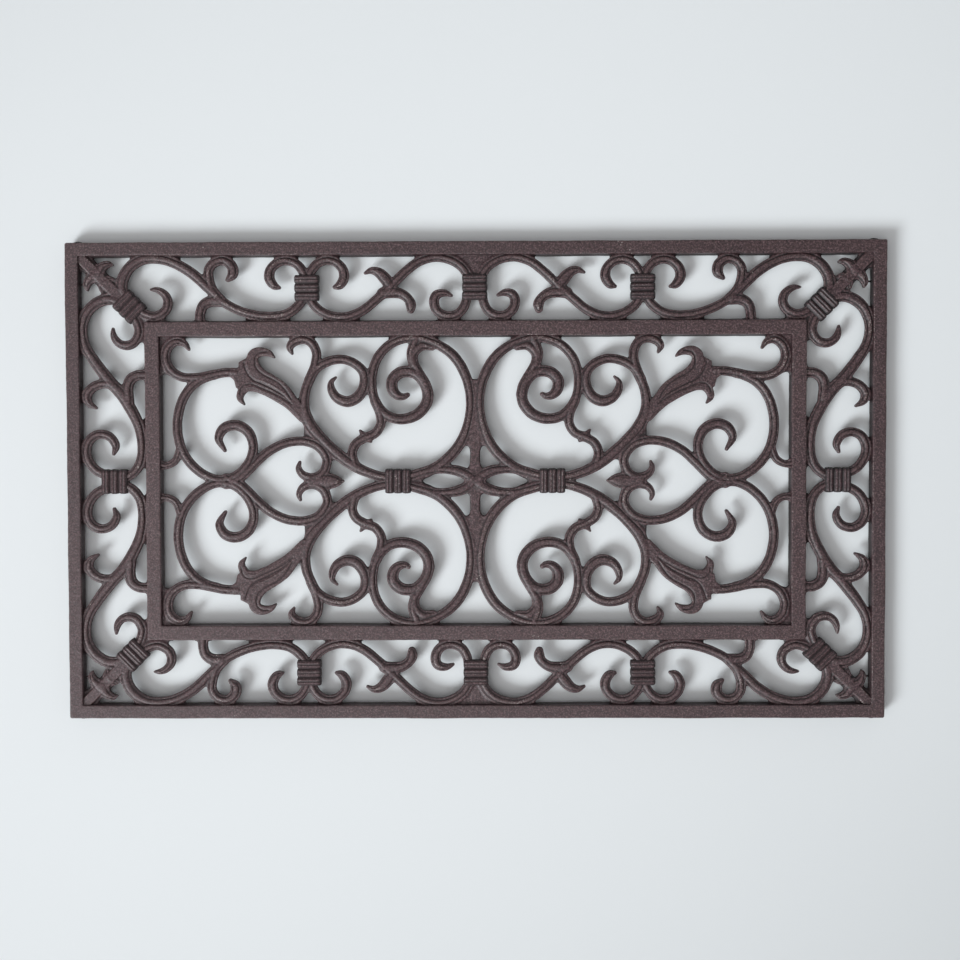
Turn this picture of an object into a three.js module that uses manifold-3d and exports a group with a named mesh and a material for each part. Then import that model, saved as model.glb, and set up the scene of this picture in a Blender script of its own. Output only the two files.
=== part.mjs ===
// Cast iron door mat: an openwork sand casting that stands on four rubber feet.
//
// Millimetres, Z up. X runs along the mat and Y across it.
// The origin is on the floor, under the middle of the mat.

import * as THREE from 'three';
import { mergeVertices } from 'three/addons/utils/BufferGeometryUtils.js';
import Module from 'manifold-3d';

const wasm = await Module();
wasm.setup();

// Plan of the casting
const matLength = 720;
const matWidth = 420;
const outerBarWidth = 11; // outer frame, from the mat's edge to the end of its flat top
const borderWidth = 58; // strip of scrollwork between the flat tops of the two frames
const innerBarWidth = 12; // flat top of the inner frame

// Heights above the underside of the casting
const frameThickness = 9;
const scrollThickness = 7.5;
const webThickness = 4.5; // sunk panels between bars that lie close together
const collarThickness = 9.5;
const scrollLift = 2.4; // the scrollwork is open below: its underside lies this far up

const frameArris = 0.9; // bevel along the edges of the frames' flat tops
const frameLean = 1.3; // how far the frames' walls spread down to the foot, but the outermost
const scrollWidth = 7.6; // a scroll bar at its full width, before it tapers to its tip

// Collars that clasp the bundles of scrolls
const collarLength = 22.5; // along the bundle
const collarWidth = 22; // across the bundle
const ribCount = 3;
const ribGroove = 1.6; // depth of the grooves between the ribs

// Rubber feet, pushed into blind holes under the corners of the outer frame
const footDiameter = 20;
const footHeight = 5; // from the floor to the shoulder that carries the casting
const footBevel = 1.2;
const plugDiameter = 6.5;
const plugLength = 5;
const footInsetX = 9.5; // middle of a foot from the short edge of the mat
const footInsetY = 8; // middle of a foot from the long edge
const footSides = 24;
const padDiameter = 15; // iron round a plug, as deep as the frames

// Fits and working values
const clearance = 0.3; // between the rubber and the iron
const overrun = 1; // how far a cut reaches past its face, and a blank past its cut
const flatness = 0.52; // largest gap between a bar's true curve and its straight steps
const samplesPerSpan = 14; // points tried between two marks of a bar's centre line

const undersideZ = footHeight + clearance;

// The pattern is drawn on squared paper, a quarter of the mat on 36 by 21 squares.
// A place is a count of squares from the mat's edges, so it is a share of the mat's size.
// Three ruled lines carry the edges of the frames, and the last one is the mat's middle.
const alongShare = 36;
const acrossShare = 21;
const ruledShares = [0, 1.1, 6.9, 8.1];
const ruledPlaces = [
  0,
  outerBarWidth,
  outerBarWidth + borderWidth,
  outerBarWidth + borderWidth + innerBarWidth,
];

function fromMiddle(halfSize, middleShare, share) {
  const shares = [...ruledShares, middleShare];
  const places = [...ruledPlaces, halfSize];
  const found = shares.findIndex((line) => line > share);
  const end = found > 0 ? found : shares.length - 1;
  const part = (share - shares[end - 1]) / (shares[end] - shares[end - 1]);
  return halfSize - THREE.MathUtils.lerp(places[end - 1], places[end], part);
}

function onPaper([along, across, widthShare = 1]) {
  const x = fromMiddle(matLength / 2, alongShare, along);
  const y = fromMiddle(matWidth / 2, acrossShare, across);
  return new THREE.Vector3(x, y, widthShare * scrollWidth);
}

// Scroll bars: each mark is [squares along, squares across, share of the scroll width].
const borderShares = {
  cornerStem: [
    [0.7, 0.7, 1.75], [2, 2, 1.75], [3.2, 3.2, 1.7], [4.1, 4.1, 1.8], [5.1, 5.1, 2.1],
  ],
  cornerThorn: [
    [2.7, 2.8], [3, 2.35, 0.95], [3.3, 2, 0.75], [3.75, 1.83, 0.5], [4.15, 1.93, 0.15],
  ],
  cornerBarb: [
    [3.4, 3.5, 0.9], [3.85, 3.2, 0.7], [4.35, 3.2, 0.2],
  ],
  cornerArch: [
    [5.3, 4.8], [4.93, 4, 1.2], [5.07, 3.05, 1.2], [5.73, 2.08, 1.2], [6.77, 1.48, 1.15],
    [8.2, 1.4, 1.1], [9.6, 1.78, 1.1], [11.1, 2.65, 1.15], [12.5, 3.95, 1.1], [14, 5.3],
    [16, 6.2], [18, 6.5], [19.5, 6.25], [20.6, 5.4], [21.1, 4.4],
  ],
  cornerCurl: [
    [6.2, 5.6], [6.9, 6.2], [7.9, 6.42], [8.75, 5.95], [9, 5.3], [8.85, 4.7, 0.9],
    [8.45, 4.3, 0.8], [8, 4.12, 0.6], [7.5, 4.1, 0.25],
  ],
  hookOnArch: [
    [13.6, 5], [12.95, 4.2], [12.6, 3.2], [12.6, 2.4], [13.1, 1.75], [13.9, 1.58, 1.05],
    [14.6, 2.05, 1.15], [14.7, 2.75, 1.1], [14.2, 3.3, 0.4],
  ],
  footOfArch: [
    [13.5, 5.1, 1.3], [12.7, 5.15, 1.2], [12.1, 5.5, 1.1], [11.83, 6.15, 1.05], [11.8, 7.1, 1.1],
  ],
  collarCurl: [
    [21.1, 3.4], [20.95, 2.7], [20.4, 1.95], [19.6, 1.6], [18.75, 1.75], [18.08, 2.4, 1.05],
    [17.97, 3.15, 1.1], [18.35, 3.78, 0.9], [18.85, 3.98, 0.35],
  ],
  collarCurlBack: [
    [21.4, 3.4], [21.55, 2.7], [22.1, 1.95], [22.9, 1.6], [23.75, 1.75], [24.42, 2.4, 1.05],
    [24.53, 3.15, 1.1], [24.15, 3.78, 0.9], [23.65, 3.98, 0.35],
  ],
  middleSweep: [
    [21.4, 4.4], [21.7, 5.3], [22.4, 6], [23.6, 6.5], [24.9, 6.5], [26.15, 6], [27.4, 5],
    [28.75, 3.75], [30, 2.55], [31.2, 1.7], [32.6, 1.35], [33.9, 1.6], [34.9, 2.25], [35.5, 3.2],
  ],
  upperLeaf: [
    [28.6, 3.9, 1.2], [28.1, 3.2, 1.3], [27.55, 2.68, 1.05], [26.95, 2.52, 0.7],
    [26.35, 2.77, 0.25],
  ],
  lowerLeaf: [
    [27.9, 4.5, 1.2], [28.7, 4.42, 1.25], [29.55, 4.58, 1.1], [30.15, 5.02, 1.05],
    [30.38, 5.5, 1.15], [30.35, 5.93, 0.85],
  ],
  middleCurl: [
    [35.35, 4.6], [35.2, 5.4], [34.75, 6.15], [34, 6.5], [33.2, 6.4], [32.63, 5.9, 1.05],
    [32.45, 5.2, 1.1], [32.67, 4.65, 1], [33.35, 4.48, 0.75], [34.02, 4.72, 0.3],
  ],
  sideArch: [
    [4.8, 5.3], [4, 4.93, 1.2], [3.05, 5.07, 1.2], [2.1, 5.75, 1.15], [1.53, 6.8, 1.05],
    [1.42, 8], [1.68, 9.15, 1.05], [2.43, 10.4, 1.15], [3.65, 12, 1.25], [4.75, 13.25, 1.2],
    [5.65, 14.65, 1.2], [6.35, 16.2, 1.1], [6.58, 18], [6.3, 19.5], [5.6, 20.35], [4.6, 20.8],
  ],
  sideHook: [
    [5.1, 13.4], [4.3, 12.6], [3.3, 12.35], [2.3, 12.65], [1.75, 13.35], [1.9, 14.05, 0.8],
    [2.55, 14.5, 0.3],
  ],
  footOfSideArch: [
    [5.45, 13.9, 1.1], [5.35, 12.9, 1.15], [5.55, 12.1, 1.15], [6.15, 11.65, 1.1],
    [7.1, 11.55, 1.1],
  ],
  sideCurl: [
    [4.1, 20.7], [3.3, 20.4], [2.4, 19.9], [1.8, 19.05], [1.65, 18.1], [2.05, 17.2],
    [2.85, 16.8], [3.75, 17.05, 0.95], [4.25, 17.85, 0.8], [4.05, 18.6, 0.3],
  ],
};

const panelShares = {
  cornerHook: [
    [13, 11.6], [11.4, 11.85], [10.2, 11.8], [9.2, 11.2], [8.75, 10.2], [8.95, 9.2],
    [9.7, 8.65, 0.95], [10.4, 8.85, 0.7], [10.8, 9.4, 0.3],
  ],
  greatLoop: [
    [14.95, 11.4], [14, 11.4], [12.6, 11.7], [11.2, 12.45], [10.2, 13.8], [9.7, 16], [10.1, 18.2],
    [11.3, 19.85], [13, 20.8], [14.6, 20.65], [15.9, 19.5], [16.4, 18], [15.95, 16.65, 1.1],
    [14.9, 16.05, 1.15], [13.85, 16.3, 1.1], [13.35, 17.2, 0.85], [13.9, 18.3, 0.35],
  ],
  footOfLoop: [
    [7.9, 19.5], [8.8, 19.55, 0.8], [9.5, 19.15, 0.8], [9.9, 18.2, 0.8],
  ],
  returnBar: [
    [14, 21.3], [15.3, 20.65], [16.6, 19.4], [17.8, 18.35], [19.4, 17.6], [21, 17.5],
    [22.2, 18], [22.9, 19.1], [22.6, 20.2], [21.7, 20.7], [20.8, 20.45, 0.85],
    [20.42, 19.85, 0.6], [20.55, 19.3, 0.3],
  ],
  arrowLeaf: [
    [21.4, 21, 1.2], [22.3, 21, 1.5], [23, 21, 1.75], [23.6, 21, 1.3], [24.4, 21, 0.15],
  ],
  longStem: [
    [19.9, 9.75, 0.3], [19.7, 9.2, 0.75], [20.1, 8.7], [20.9, 8.5], [21.65, 8.85], [22.05, 9.7],
    [21.95, 10.7], [21.5, 11.9], [21.03, 13.2, 1.05], [20.95, 14.6, 1.15], [21.47, 16.05, 1.3],
    [22.75, 17.55, 1.15], [24.13, 18.82, 1.25], [25.66, 19.86, 1.15], [27.2, 20.48, 1.05],
    [28.8, 20.8],
  ],
  smallSpiral: [
    [21.4, 12.1], [22, 11.15], [23, 10.5], [24.3, 10.27], [25.4, 10.65], [26.17, 11.45, 1.05],
    [26.23, 12.6, 1.1], [25.63, 13.63, 1.2], [24.7, 14, 1.2], [23.8, 13.63, 1.05],
    [23.35, 12.9, 0.85], [23.35, 12.3, 0.55], [23.75, 11.85, 0.25],
  ],
  greatRing: [
    [28.8, 20.85], [31, 20.35], [32.87, 19.6, 1.15], [34.57, 17.86, 1.15], [35.4, 15.8],
    [35.6, 13.8], [35.22, 11.85, 1.1], [34.13, 10.02, 1.1], [32.3, 8.8], [30.4, 8.4],
    [28.6, 8.95], [27.4, 10.2], [26.9, 12], [27.2, 13.9], [28.3, 15.25, 1.1], [29.7, 15.55, 1.15],
    [31.05, 15.05, 1.2], [31.83, 13.9, 1.2], [31.63, 12.55, 1.15], [30.7, 11.48, 1.15],
    [29.5, 11.37, 1.1], [28.65, 12.05], [28.65, 13, 0.95], [29.2, 13.55, 0.8], [29.75, 13.6, 0.6],
    [30.15, 13.35, 0.3],
  ],
  ringStem: [
    [32, 13.4, 0.9], [31.8, 12.65, 0.95], [31.25, 11.7], [30.65, 10.6], [30.65, 9.8],
    [31.3, 9.1, 1.1], [32.3, 9.25, 0.7],
  ],
  ringStemRoot: [
    [30.6, 10.8], [30.4, 9.8], [30.8, 8.6, 1.1],
  ],
  crescentBar: [
    [27.2, 14], [27.65, 15.1], [27.7, 16], [27.2, 16.8], [26.3, 17.2], [25.5, 17.7],
    [25.15, 18.5], [25.4, 19.7],
  ],
  crescentBarb: [
    [26.6, 17.2, 0.8], [26.2, 16.95, 0.65], [25.87, 16.55, 0.25],
  ],
  crescentNib: [
    [26.3, 17.1, 0.8], [26.6, 17.3, 0.65], [26.82, 17.55, 0.3],
  ],
  lensBar: [
    [30.4, 20.5], [31.9, 20.08, 0.95], [33.5, 19.97], [34.8, 20.22, 1.2], [36, 20.93, 1.2],
    [36.5, 21.2, 1.2],
  ],
  upperPetal: [
    [20.8, 15], [19.9, 13.8], [19.1, 12.8, 1.1], [18.1, 12.1, 1.15], [17.1, 11.5, 1.2],
    [16.5, 10.7, 1.25], [16.45, 10, 1.2], [16.85, 9.65, 1.1], [17.4, 9.6, 0.9],
    [17.9, 9.75, 0.65], [18.35, 10.1, 0.2],
  ],
  lowerPetal: [
    [20.8, 15.4], [19.6, 14.25], [18.4, 13.5], [17.4, 13], [16.5, 12.7], [15.8, 12.75],
    [15.4, 13.2, 0.85], [15.3, 13.7, 0.65], [15.65, 14.25, 0.2],
  ],
};

// Webs and leaves with a flat top, each an outline on the same squared paper
const webShares = {
  lilyBell: [
    [15.2, 11.2], [16.2, 10.4], [17, 11.6], [18.6, 12.3], [19.6, 13.4], [20.6, 14.9],
    [19.2, 14], [17.6, 13.1], [16.2, 12.7], [15.3, 12.9],
  ],
  lilyCup: [
    [14.6, 11], [15.2, 11], [15.2, 10.5], [15.9, 10.15], [16.3, 11.2], [16, 12.5],
    [15.3, 12.95], [14.95, 12.75], [14.8, 12.1], [14.5, 11.8],
  ],
  ringWeb: [
    [36.4, 12.1], [35.9, 12.1], [35.45, 12.7], [35.7, 13.8], [35.5, 15.8], [34.9, 17.3],
    [34.8, 18], [35.15, 17.85], [35.45, 17.95], [35.65, 18.4], [35.68, 19], [35.55, 19.65],
    [35.3, 19.95], [35.2, 20.5], [36.4, 20.9],
  ],
  lensSeat: [
    [30, 20.3], [32.6, 20.3], [32, 20.63], [31.6, 20.8], [31.3, 21], [31, 21.3], [30, 21.3],
  ],
  stemSeat: [
    [22.5, 17.8], [23.2, 18.6], [23.9, 19.1], [23.4, 19.2], [23, 19.1], [22.5, 18.6],
  ],
  forkSeat: [
    [21, 15.6], [21.5, 16.9], [22.6, 17.9], [22, 17.8], [21.4, 17.1], [20.9, 16.9],
  ],
  middleWeb: [
    [33.4, 1], [34.3, 1.9], [35, 2.7], [35.3, 3.4], [36.4, 3.4], [36.4, 1],
  ],
  curlSeat: [
    [6.3, 6], [7.4, 6.5], [8.7, 6.5], [8.8, 7], [7, 7], [7, 8.8], [6.5, 8.7], [6.5, 7.4], [6, 6.3],
  ],
  hookSeat: [
    [8, 8], [10.3, 8], [9.5, 8.8], [8.9, 9.8], [9, 11.1], [9.4, 11.7], [8.6, 11.5], [8, 11.9],
  ],
};

// Collars: the middle of each, and how far its bundle is turned from the mat's length
const collarsShares = [
  { middle: [5.6, 5.6], turned: Math.PI / 4 },
  { middle: [21.25, 4.02], turned: Math.PI / 2 },
  { middle: [36, 4], turned: Math.PI / 2 },
  { middle: [4.15, 21], turned: 0 },
  { middle: [29.2, 21], turned: 0 },
];

const quarters = [[1, 1], [-1, 1], [-1, -1], [1, -1]];

// A blank with upright walls, from below the underside up to a height above it
function blank(shape, height) {
  const depth = height + overrun;
  return new THREE.ExtrudeGeometry(shape, { depth, bevelEnabled: false })
    .translate(0, 0, undersideZ - overrun);
}

// The few points of a curve that keep it within the flatness of its true line
function stations(curve, spanCount) {
  const last = spanCount * samplesPerSpan;
  const samples = [];
  for (let i = 0; i <= last; i += 1) {
    samples.push({ place: curve.getPoint(i / last), heading: curve.getTangent(i / last) });
  }
  const kept = [samples[0]];
  let start = 0;
  for (let end = 2; end < samples.length; end += 1) {
    const chord = new THREE.Line3(samples[start].place, samples[end].place);
    const nearest = new THREE.Vector3();
    const strays = samples.slice(start + 1, end).some(({ place }) => {
      chord.closestPointToPoint(place, true, nearest);
      return nearest.distanceTo(place) > flatness;
    });
    if (strays) {
      start = end - 1;
      kept.push(samples[start]);
    }
  }
  kept.push(samples.at(-1));
  return kept;
}

// A scroll bar: its plan follows a smooth line, whose third coordinate is the bar's width.
// It stands taller than it should be, because all the bars are trimmed level together.
function scrollBar(marks, [flipX, flipY]) {
  const flip = new THREE.Vector3(flipX, flipY, 1);
  const knots = marks.map((mark) => onPaper(mark).multiply(flip));
  const curve = new THREE.CatmullRomCurve3(knots, false, 'centripetal');
  const stops = stations(curve, knots.length - 1);
  const edge = (share) => stops.map(({ place, heading }) => {
    const side = new THREE.Vector2(-heading.y, heading.x).normalize();
    return new THREE.Vector2(place.x, place.y).addScaledVector(side, share * place.z);
  });
  const outline = [...edge(-1 / 2), ...edge(1 / 2).reverse()];
  return blank(new THREE.Shape(outline), scrollThickness + overrun);
}

// A sunk web that fills a gap between bars
function web(outline, [flipX, flipY]) {
  const flip = new THREE.Vector3(flipX, flipY, 1);
  const corners = outline.map((mark) => onPaper(mark).multiply(flip));
  const shape = new THREE.Shape(corners.map(({ x, y }) => new THREE.Vector2(x, y)));
  return blank(shape, webThickness);
}

// A rectangle with its edges at a distance from the edges of the mat
function rectangle(edge) {
  return quarters.map(([flipX, flipY]) => new THREE.Vector2(
    flipX * (matLength / 2 - edge),
    flipY * (matWidth / 2 - edge),
  ));
}

// A frame: one section carried round the mat, with corners mitred like a picture frame's.
// Each place in the section is a distance in from the mat's edges and a height.
function frame(edge, width, outerLean) {
  const inner = edge + width;
  const wallTop = frameThickness - frameArris;
  const section = [
    [edge - outerLean, -overrun],
    [edge, wallTop],
    [edge + frameArris, frameThickness],
    [inner - frameArris, frameThickness],
    [inner, wallTop],
    [inner + frameLean, -overrun],
  ];
  const corners = section.flatMap(([inset, height]) => rectangle(inset)
    .map(({ x, y }) => new THREE.Vector3(x, y, undersideZ + height)));
  const at = (row, turn) => (row % section.length) * quarters.length + (turn % quarters.length);
  const faces = section.flatMap((place, row) => quarters.flatMap((quarter, turn) => [
    at(row, turn), at(row, turn + 1), at(row + 1, turn + 1),
    at(row, turn), at(row + 1, turn + 1), at(row + 1, turn),
  ]));
  const geometry = new THREE.BufferGeometry().setFromPoints(corners);
  geometry.setIndex(faces);
  return geometry;
}

// A collar: one block whose top is a row of bevelled ribs with grooves between them
function collar({ middle, turned }, [flipX, flipY]) {
  const spacing = collarLength / ribCount;
  const bevel = ribGroove / 2;
  const crest = collarThickness;
  const start = -collarLength / 2;
  const profile = new THREE.Shape();
  profile.moveTo(start, -overrun);
  for (let i = 0; i < ribCount; i += 1) {
    const left = start + i * spacing;
    const right = left + spacing;
    profile.lineTo(left, crest - ribGroove);
    profile.lineTo(left + bevel, crest);
    profile.lineTo(right - bevel, crest);
    profile.lineTo(right, crest - ribGroove);
  }
  profile.lineTo(-start, -overrun);
  const place = onPaper(middle);
  return new THREE.ExtrudeGeometry(profile, { depth: collarWidth, bevelEnabled: false })
    .translate(0, 0, -collarWidth / 2)
    .rotateX(Math.PI / 2)
    .rotateZ(turned * flipX * flipY)
    .translate(place.x * flipX, place.y * flipY, undersideZ);
}

// Feet: a round pad with a plug that goes up into the casting
const footRadius = footDiameter / 2;
const plugRadius = plugDiameter / 2;

function footPad() {
  const profile = [
    new THREE.Vector2(0, 0),
    new THREE.Vector2(footRadius - footBevel, 0),
    new THREE.Vector2(footRadius, footBevel),
    new THREE.Vector2(footRadius, footHeight),
    new THREE.Vector2(plugRadius, footHeight),
    new THREE.Vector2(plugRadius, footHeight + plugLength),
    new THREE.Vector2(0, footHeight + plugLength),
  ];
  return new THREE.LatheGeometry(profile, footSides).rotateX(Math.PI / 2);
}

function plugHole() {
  const radius = plugRadius + clearance;
  const depth = footHeight + plugLength + clearance - undersideZ + overrun;
  return new THREE.CylinderGeometry(radius, radius, depth, footSides)
    .rotateX(Math.PI / 2)
    .translate(0, 0, undersideZ - overrun + depth / 2);
}

// The iron round a plug hole, from below the frames' underside to inside the scrollwork
function cornerPad() {
  const radius = padDiameter / 2;
  const depth = scrollLift + 2 * overrun;
  return new THREE.CylinderGeometry(radius, radius, depth, footSides)
    .rotateX(Math.PI / 2)
    .translate(0, 0, undersideZ - overrun + depth / 2);
}

function footPlace([flipX, flipY]) {
  return [flipX * (matLength / 2 - footInsetX), flipY * (matWidth / 2 - footInsetY), 0];
}

// Solids: the faces of a piece are made to share their corners, then pieces are joined or cut
function toSolid(geometry) {
  const merged = mergeVertices(geometry.deleteAttribute('normal').deleteAttribute('uv'));
  const mesh = new wasm.Mesh({
    numProp: 3,
    vertProperties: new Float32Array(merged.attributes.position.array),
    triVerts: new Uint32Array(merged.index.array),
  });
  return new wasm.Manifold(mesh);
}

function toGeometry(solid) {
  const mesh = solid.getMesh();
  const geometry = new THREE.BufferGeometry();
  geometry.setAttribute('position', new THREE.BufferAttribute(mesh.vertProperties, 3));
  geometry.setIndex(new THREE.BufferAttribute(mesh.triVerts, 1));
  geometry.computeVertexNormals();
  return geometry;
}

const join = (geometries) => geometries.map(toSolid).reduce((whole, piece) => whole.add(piece));
const cut = (solid, geometries) => geometries.map(toSolid).reduce(
  (whole, piece) => whole.subtract(piece),
  solid,
);

// A slab as large as the mat, above a level or, where its depth is negative, below it
function slab(level, depth) {
  const size = [matLength + 2 * overrun, matWidth + 2 * overrun, Math.abs(depth)];
  return new THREE.BoxGeometry(...size).translate(0, 0, undersideZ + level + depth / 2);
}

// The bars that stand on both sides of a corner's diagonal are drawn once and swapped over
const swappedAtCorner = ['cornerThorn', 'cornerBarb', 'cornerCurl']
  .map((name) => borderShares[name].map(([along, across, width]) => [across, along, width]));

function makeCasting() {
  const bars = [borderShares, panelShares].flatMap(Object.values).concat(swappedAtCorner);
  const scrollwork = quarters.flatMap((quarter) => [
    ...bars.map((marks) => scrollBar(marks, quarter)),
    ...Object.values(webShares).map((outline) => web(outline, quarter)),
  ]);
  const levelled = cut(join(scrollwork), [slab(scrollThickness, 2 * overrun)]);
  const frames = [
    frame(0, outerBarWidth, 0),
    frame(outerBarWidth + borderWidth, innerBarWidth, frameLean),
  ];
  const collars = quarters.flatMap(
    (quarter) => collarsShares.map((place) => collar(place, quarter)),
  );
  const pads = quarters.map((quarter) => cornerPad().translate(...footPlace(quarter)));
  const grille = cut(levelled.add(join(collars)), [slab(scrollLift, -scrollLift - 2 * overrun)]);
  const whole = grille.add(join([...frames, ...pads]));
  const holes = quarters.map((quarter) => plugHole().translate(...footPlace(quarter)));
  return cut(whole, [slab(0, -undersideZ), ...holes]);
}

const paintedIron = new THREE.MeshStandardMaterial({
  color: '#584b4c',
  roughness: 0.72,
  metalness: 0.35,
});

const blackRubber = new THREE.MeshStandardMaterial({
  color: '#1b1a1a',
  roughness: 0.9,
  metalness: 0,
});

const doorMat = new THREE.Group();

const casting = new THREE.Mesh(toGeometry(makeCasting()), paintedIron);
casting.name = 'scrollwork_casting';
doorMat.add(casting);

const footNames = ['foot_back_right', 'foot_back_left', 'foot_front_left', 'foot_front_right'];
quarters.forEach((quarter, i) => {
  const foot = new THREE.Mesh(footPad(), blackRubber.clone());
  foot.name = footNames[i];
  foot.position.set(...footPlace(quarter));
  doorMat.add(foot);
});

export default doorMat;
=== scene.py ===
# %% [markdown]
# # A cast iron door mat
#
# The mat is one openwork iron casting on four rubber feet.
# The solids come from the packed part and stay where they are.
# This lesson dresses them: it draws the same scrolls again, much finer, with the
# raised bead along every bar, and gives the iron its paint and the rubber its bloom.

import functools
import math
import bpy
import numpy as np
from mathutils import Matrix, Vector
from mathutils.geometry import delaunay_2d_cdt


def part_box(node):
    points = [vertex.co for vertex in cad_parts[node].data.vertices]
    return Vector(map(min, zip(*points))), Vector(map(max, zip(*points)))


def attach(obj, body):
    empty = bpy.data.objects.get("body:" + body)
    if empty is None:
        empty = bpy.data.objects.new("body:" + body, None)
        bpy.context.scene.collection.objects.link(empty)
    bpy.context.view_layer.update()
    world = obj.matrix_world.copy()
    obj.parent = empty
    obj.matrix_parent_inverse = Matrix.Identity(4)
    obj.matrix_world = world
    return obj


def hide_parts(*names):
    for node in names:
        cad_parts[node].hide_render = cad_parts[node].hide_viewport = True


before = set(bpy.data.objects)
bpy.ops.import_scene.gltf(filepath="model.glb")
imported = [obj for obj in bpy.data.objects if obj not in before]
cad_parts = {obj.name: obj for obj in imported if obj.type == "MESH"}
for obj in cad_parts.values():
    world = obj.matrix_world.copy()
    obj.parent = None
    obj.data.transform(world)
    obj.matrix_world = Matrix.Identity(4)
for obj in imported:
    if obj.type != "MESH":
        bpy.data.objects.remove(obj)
bpy.context.view_layer.update()

# %% [markdown]
# ## Sizes
#
# The part's source drives its plan with a few lengths, and the same ones are named here.
# They are written in millimetres, as on a founder's drawing, and every finished mesh is
# turned to metres once, when it is made.

# %% Name the sizes
MM = 0.001
MAT_LENGTH, MAT_WIDTH = 720.0, 420.0
OUTER_BAR, BORDER, INNER_BAR = 11.0, 58.0, 12.0
SCROLL_WIDTH = 8.1
FRAME_LEAN = 1.3
CAST_LOW, CAST_HIGH = (corner.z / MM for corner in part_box("scrollwork_casting"))
FRAME_TOP = CAST_LOW + 9.0
SCROLL_LOW = CAST_LOW + 2.4
BEAD_TOP = CAST_LOW + 7.5
RIM_TOP = CAST_LOW + 6.3
WEB_TOP = CAST_LOW + 5.2
print(f"casting from {CAST_LOW:.2f} to {CAST_HIGH:.2f} mm above the floor")

# %% [markdown]
# ## The squared paper
#
# Old pattern makers drew one quarter of a symmetrical grille on squared paper and
# turned it over twice. A quarter of this mat is 36 squares long and 21 across, counted
# from its edges, and ruled lines carry the edges of the two frames.

# %% Turn squares into millimetres
SQUARES_ALONG, SQUARES_ACROSS = 36, 21
RULED_SQUARES = [0, 1.1, 6.9, 8.1]
RULED_PLACES = [0, OUTER_BAR, OUTER_BAR + BORDER, OUTER_BAR + BORDER + INNER_BAR]


def on_paper(squares, middle, half):
    """Squares from the edge to millimetres from the edge.

    Between two ruled lines the place runs evenly from one to the next, and past the
    middle of the mat it keeps the last slope, so that a bar may cross the middle.
    """
    lines = np.append(RULED_SQUARES, middle)
    places = np.append(RULED_PLACES, half)
    place = np.interp(squares, lines, places)
    slope = (places[-1] - places[-2]) / (lines[-1] - lines[-2])
    return place + np.maximum(squares - middle, 0) * slope


def marks_in_mm(marks):
    """Rows of along, across and width share become rows of x, y and half width.

    x and y count from the middle of the mat, so they are places in its +X +Y quarter.
    """
    rows = np.array([tuple(mark) + (1.0,) * (3 - len(mark)) for mark in marks], float)
    x = MAT_LENGTH / 2 - on_paper(rows[:, 0], SQUARES_ALONG, MAT_LENGTH / 2)
    y = MAT_WIDTH / 2 - on_paper(rows[:, 1], SQUARES_ACROSS, MAT_WIDTH / 2)
    return np.stack([x, y, rows[:, 2] * SCROLL_WIDTH / 2], 1)


print("corner of the inner frame at", marks_in_mm([(8.1, 8.1)])[0, :2], "mm")

# %% [markdown]
# ## The bars of the border
#
# Each bar is a few marks on the paper: squares along, squares across, and how wide the
# bar is there as a share of the usual width. They are the marks of the part's source, so
# the fine bars lie on the plain ones. They are half a millimetre wider than those, for the
# swelling of the sand and the coats of paint.

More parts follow.
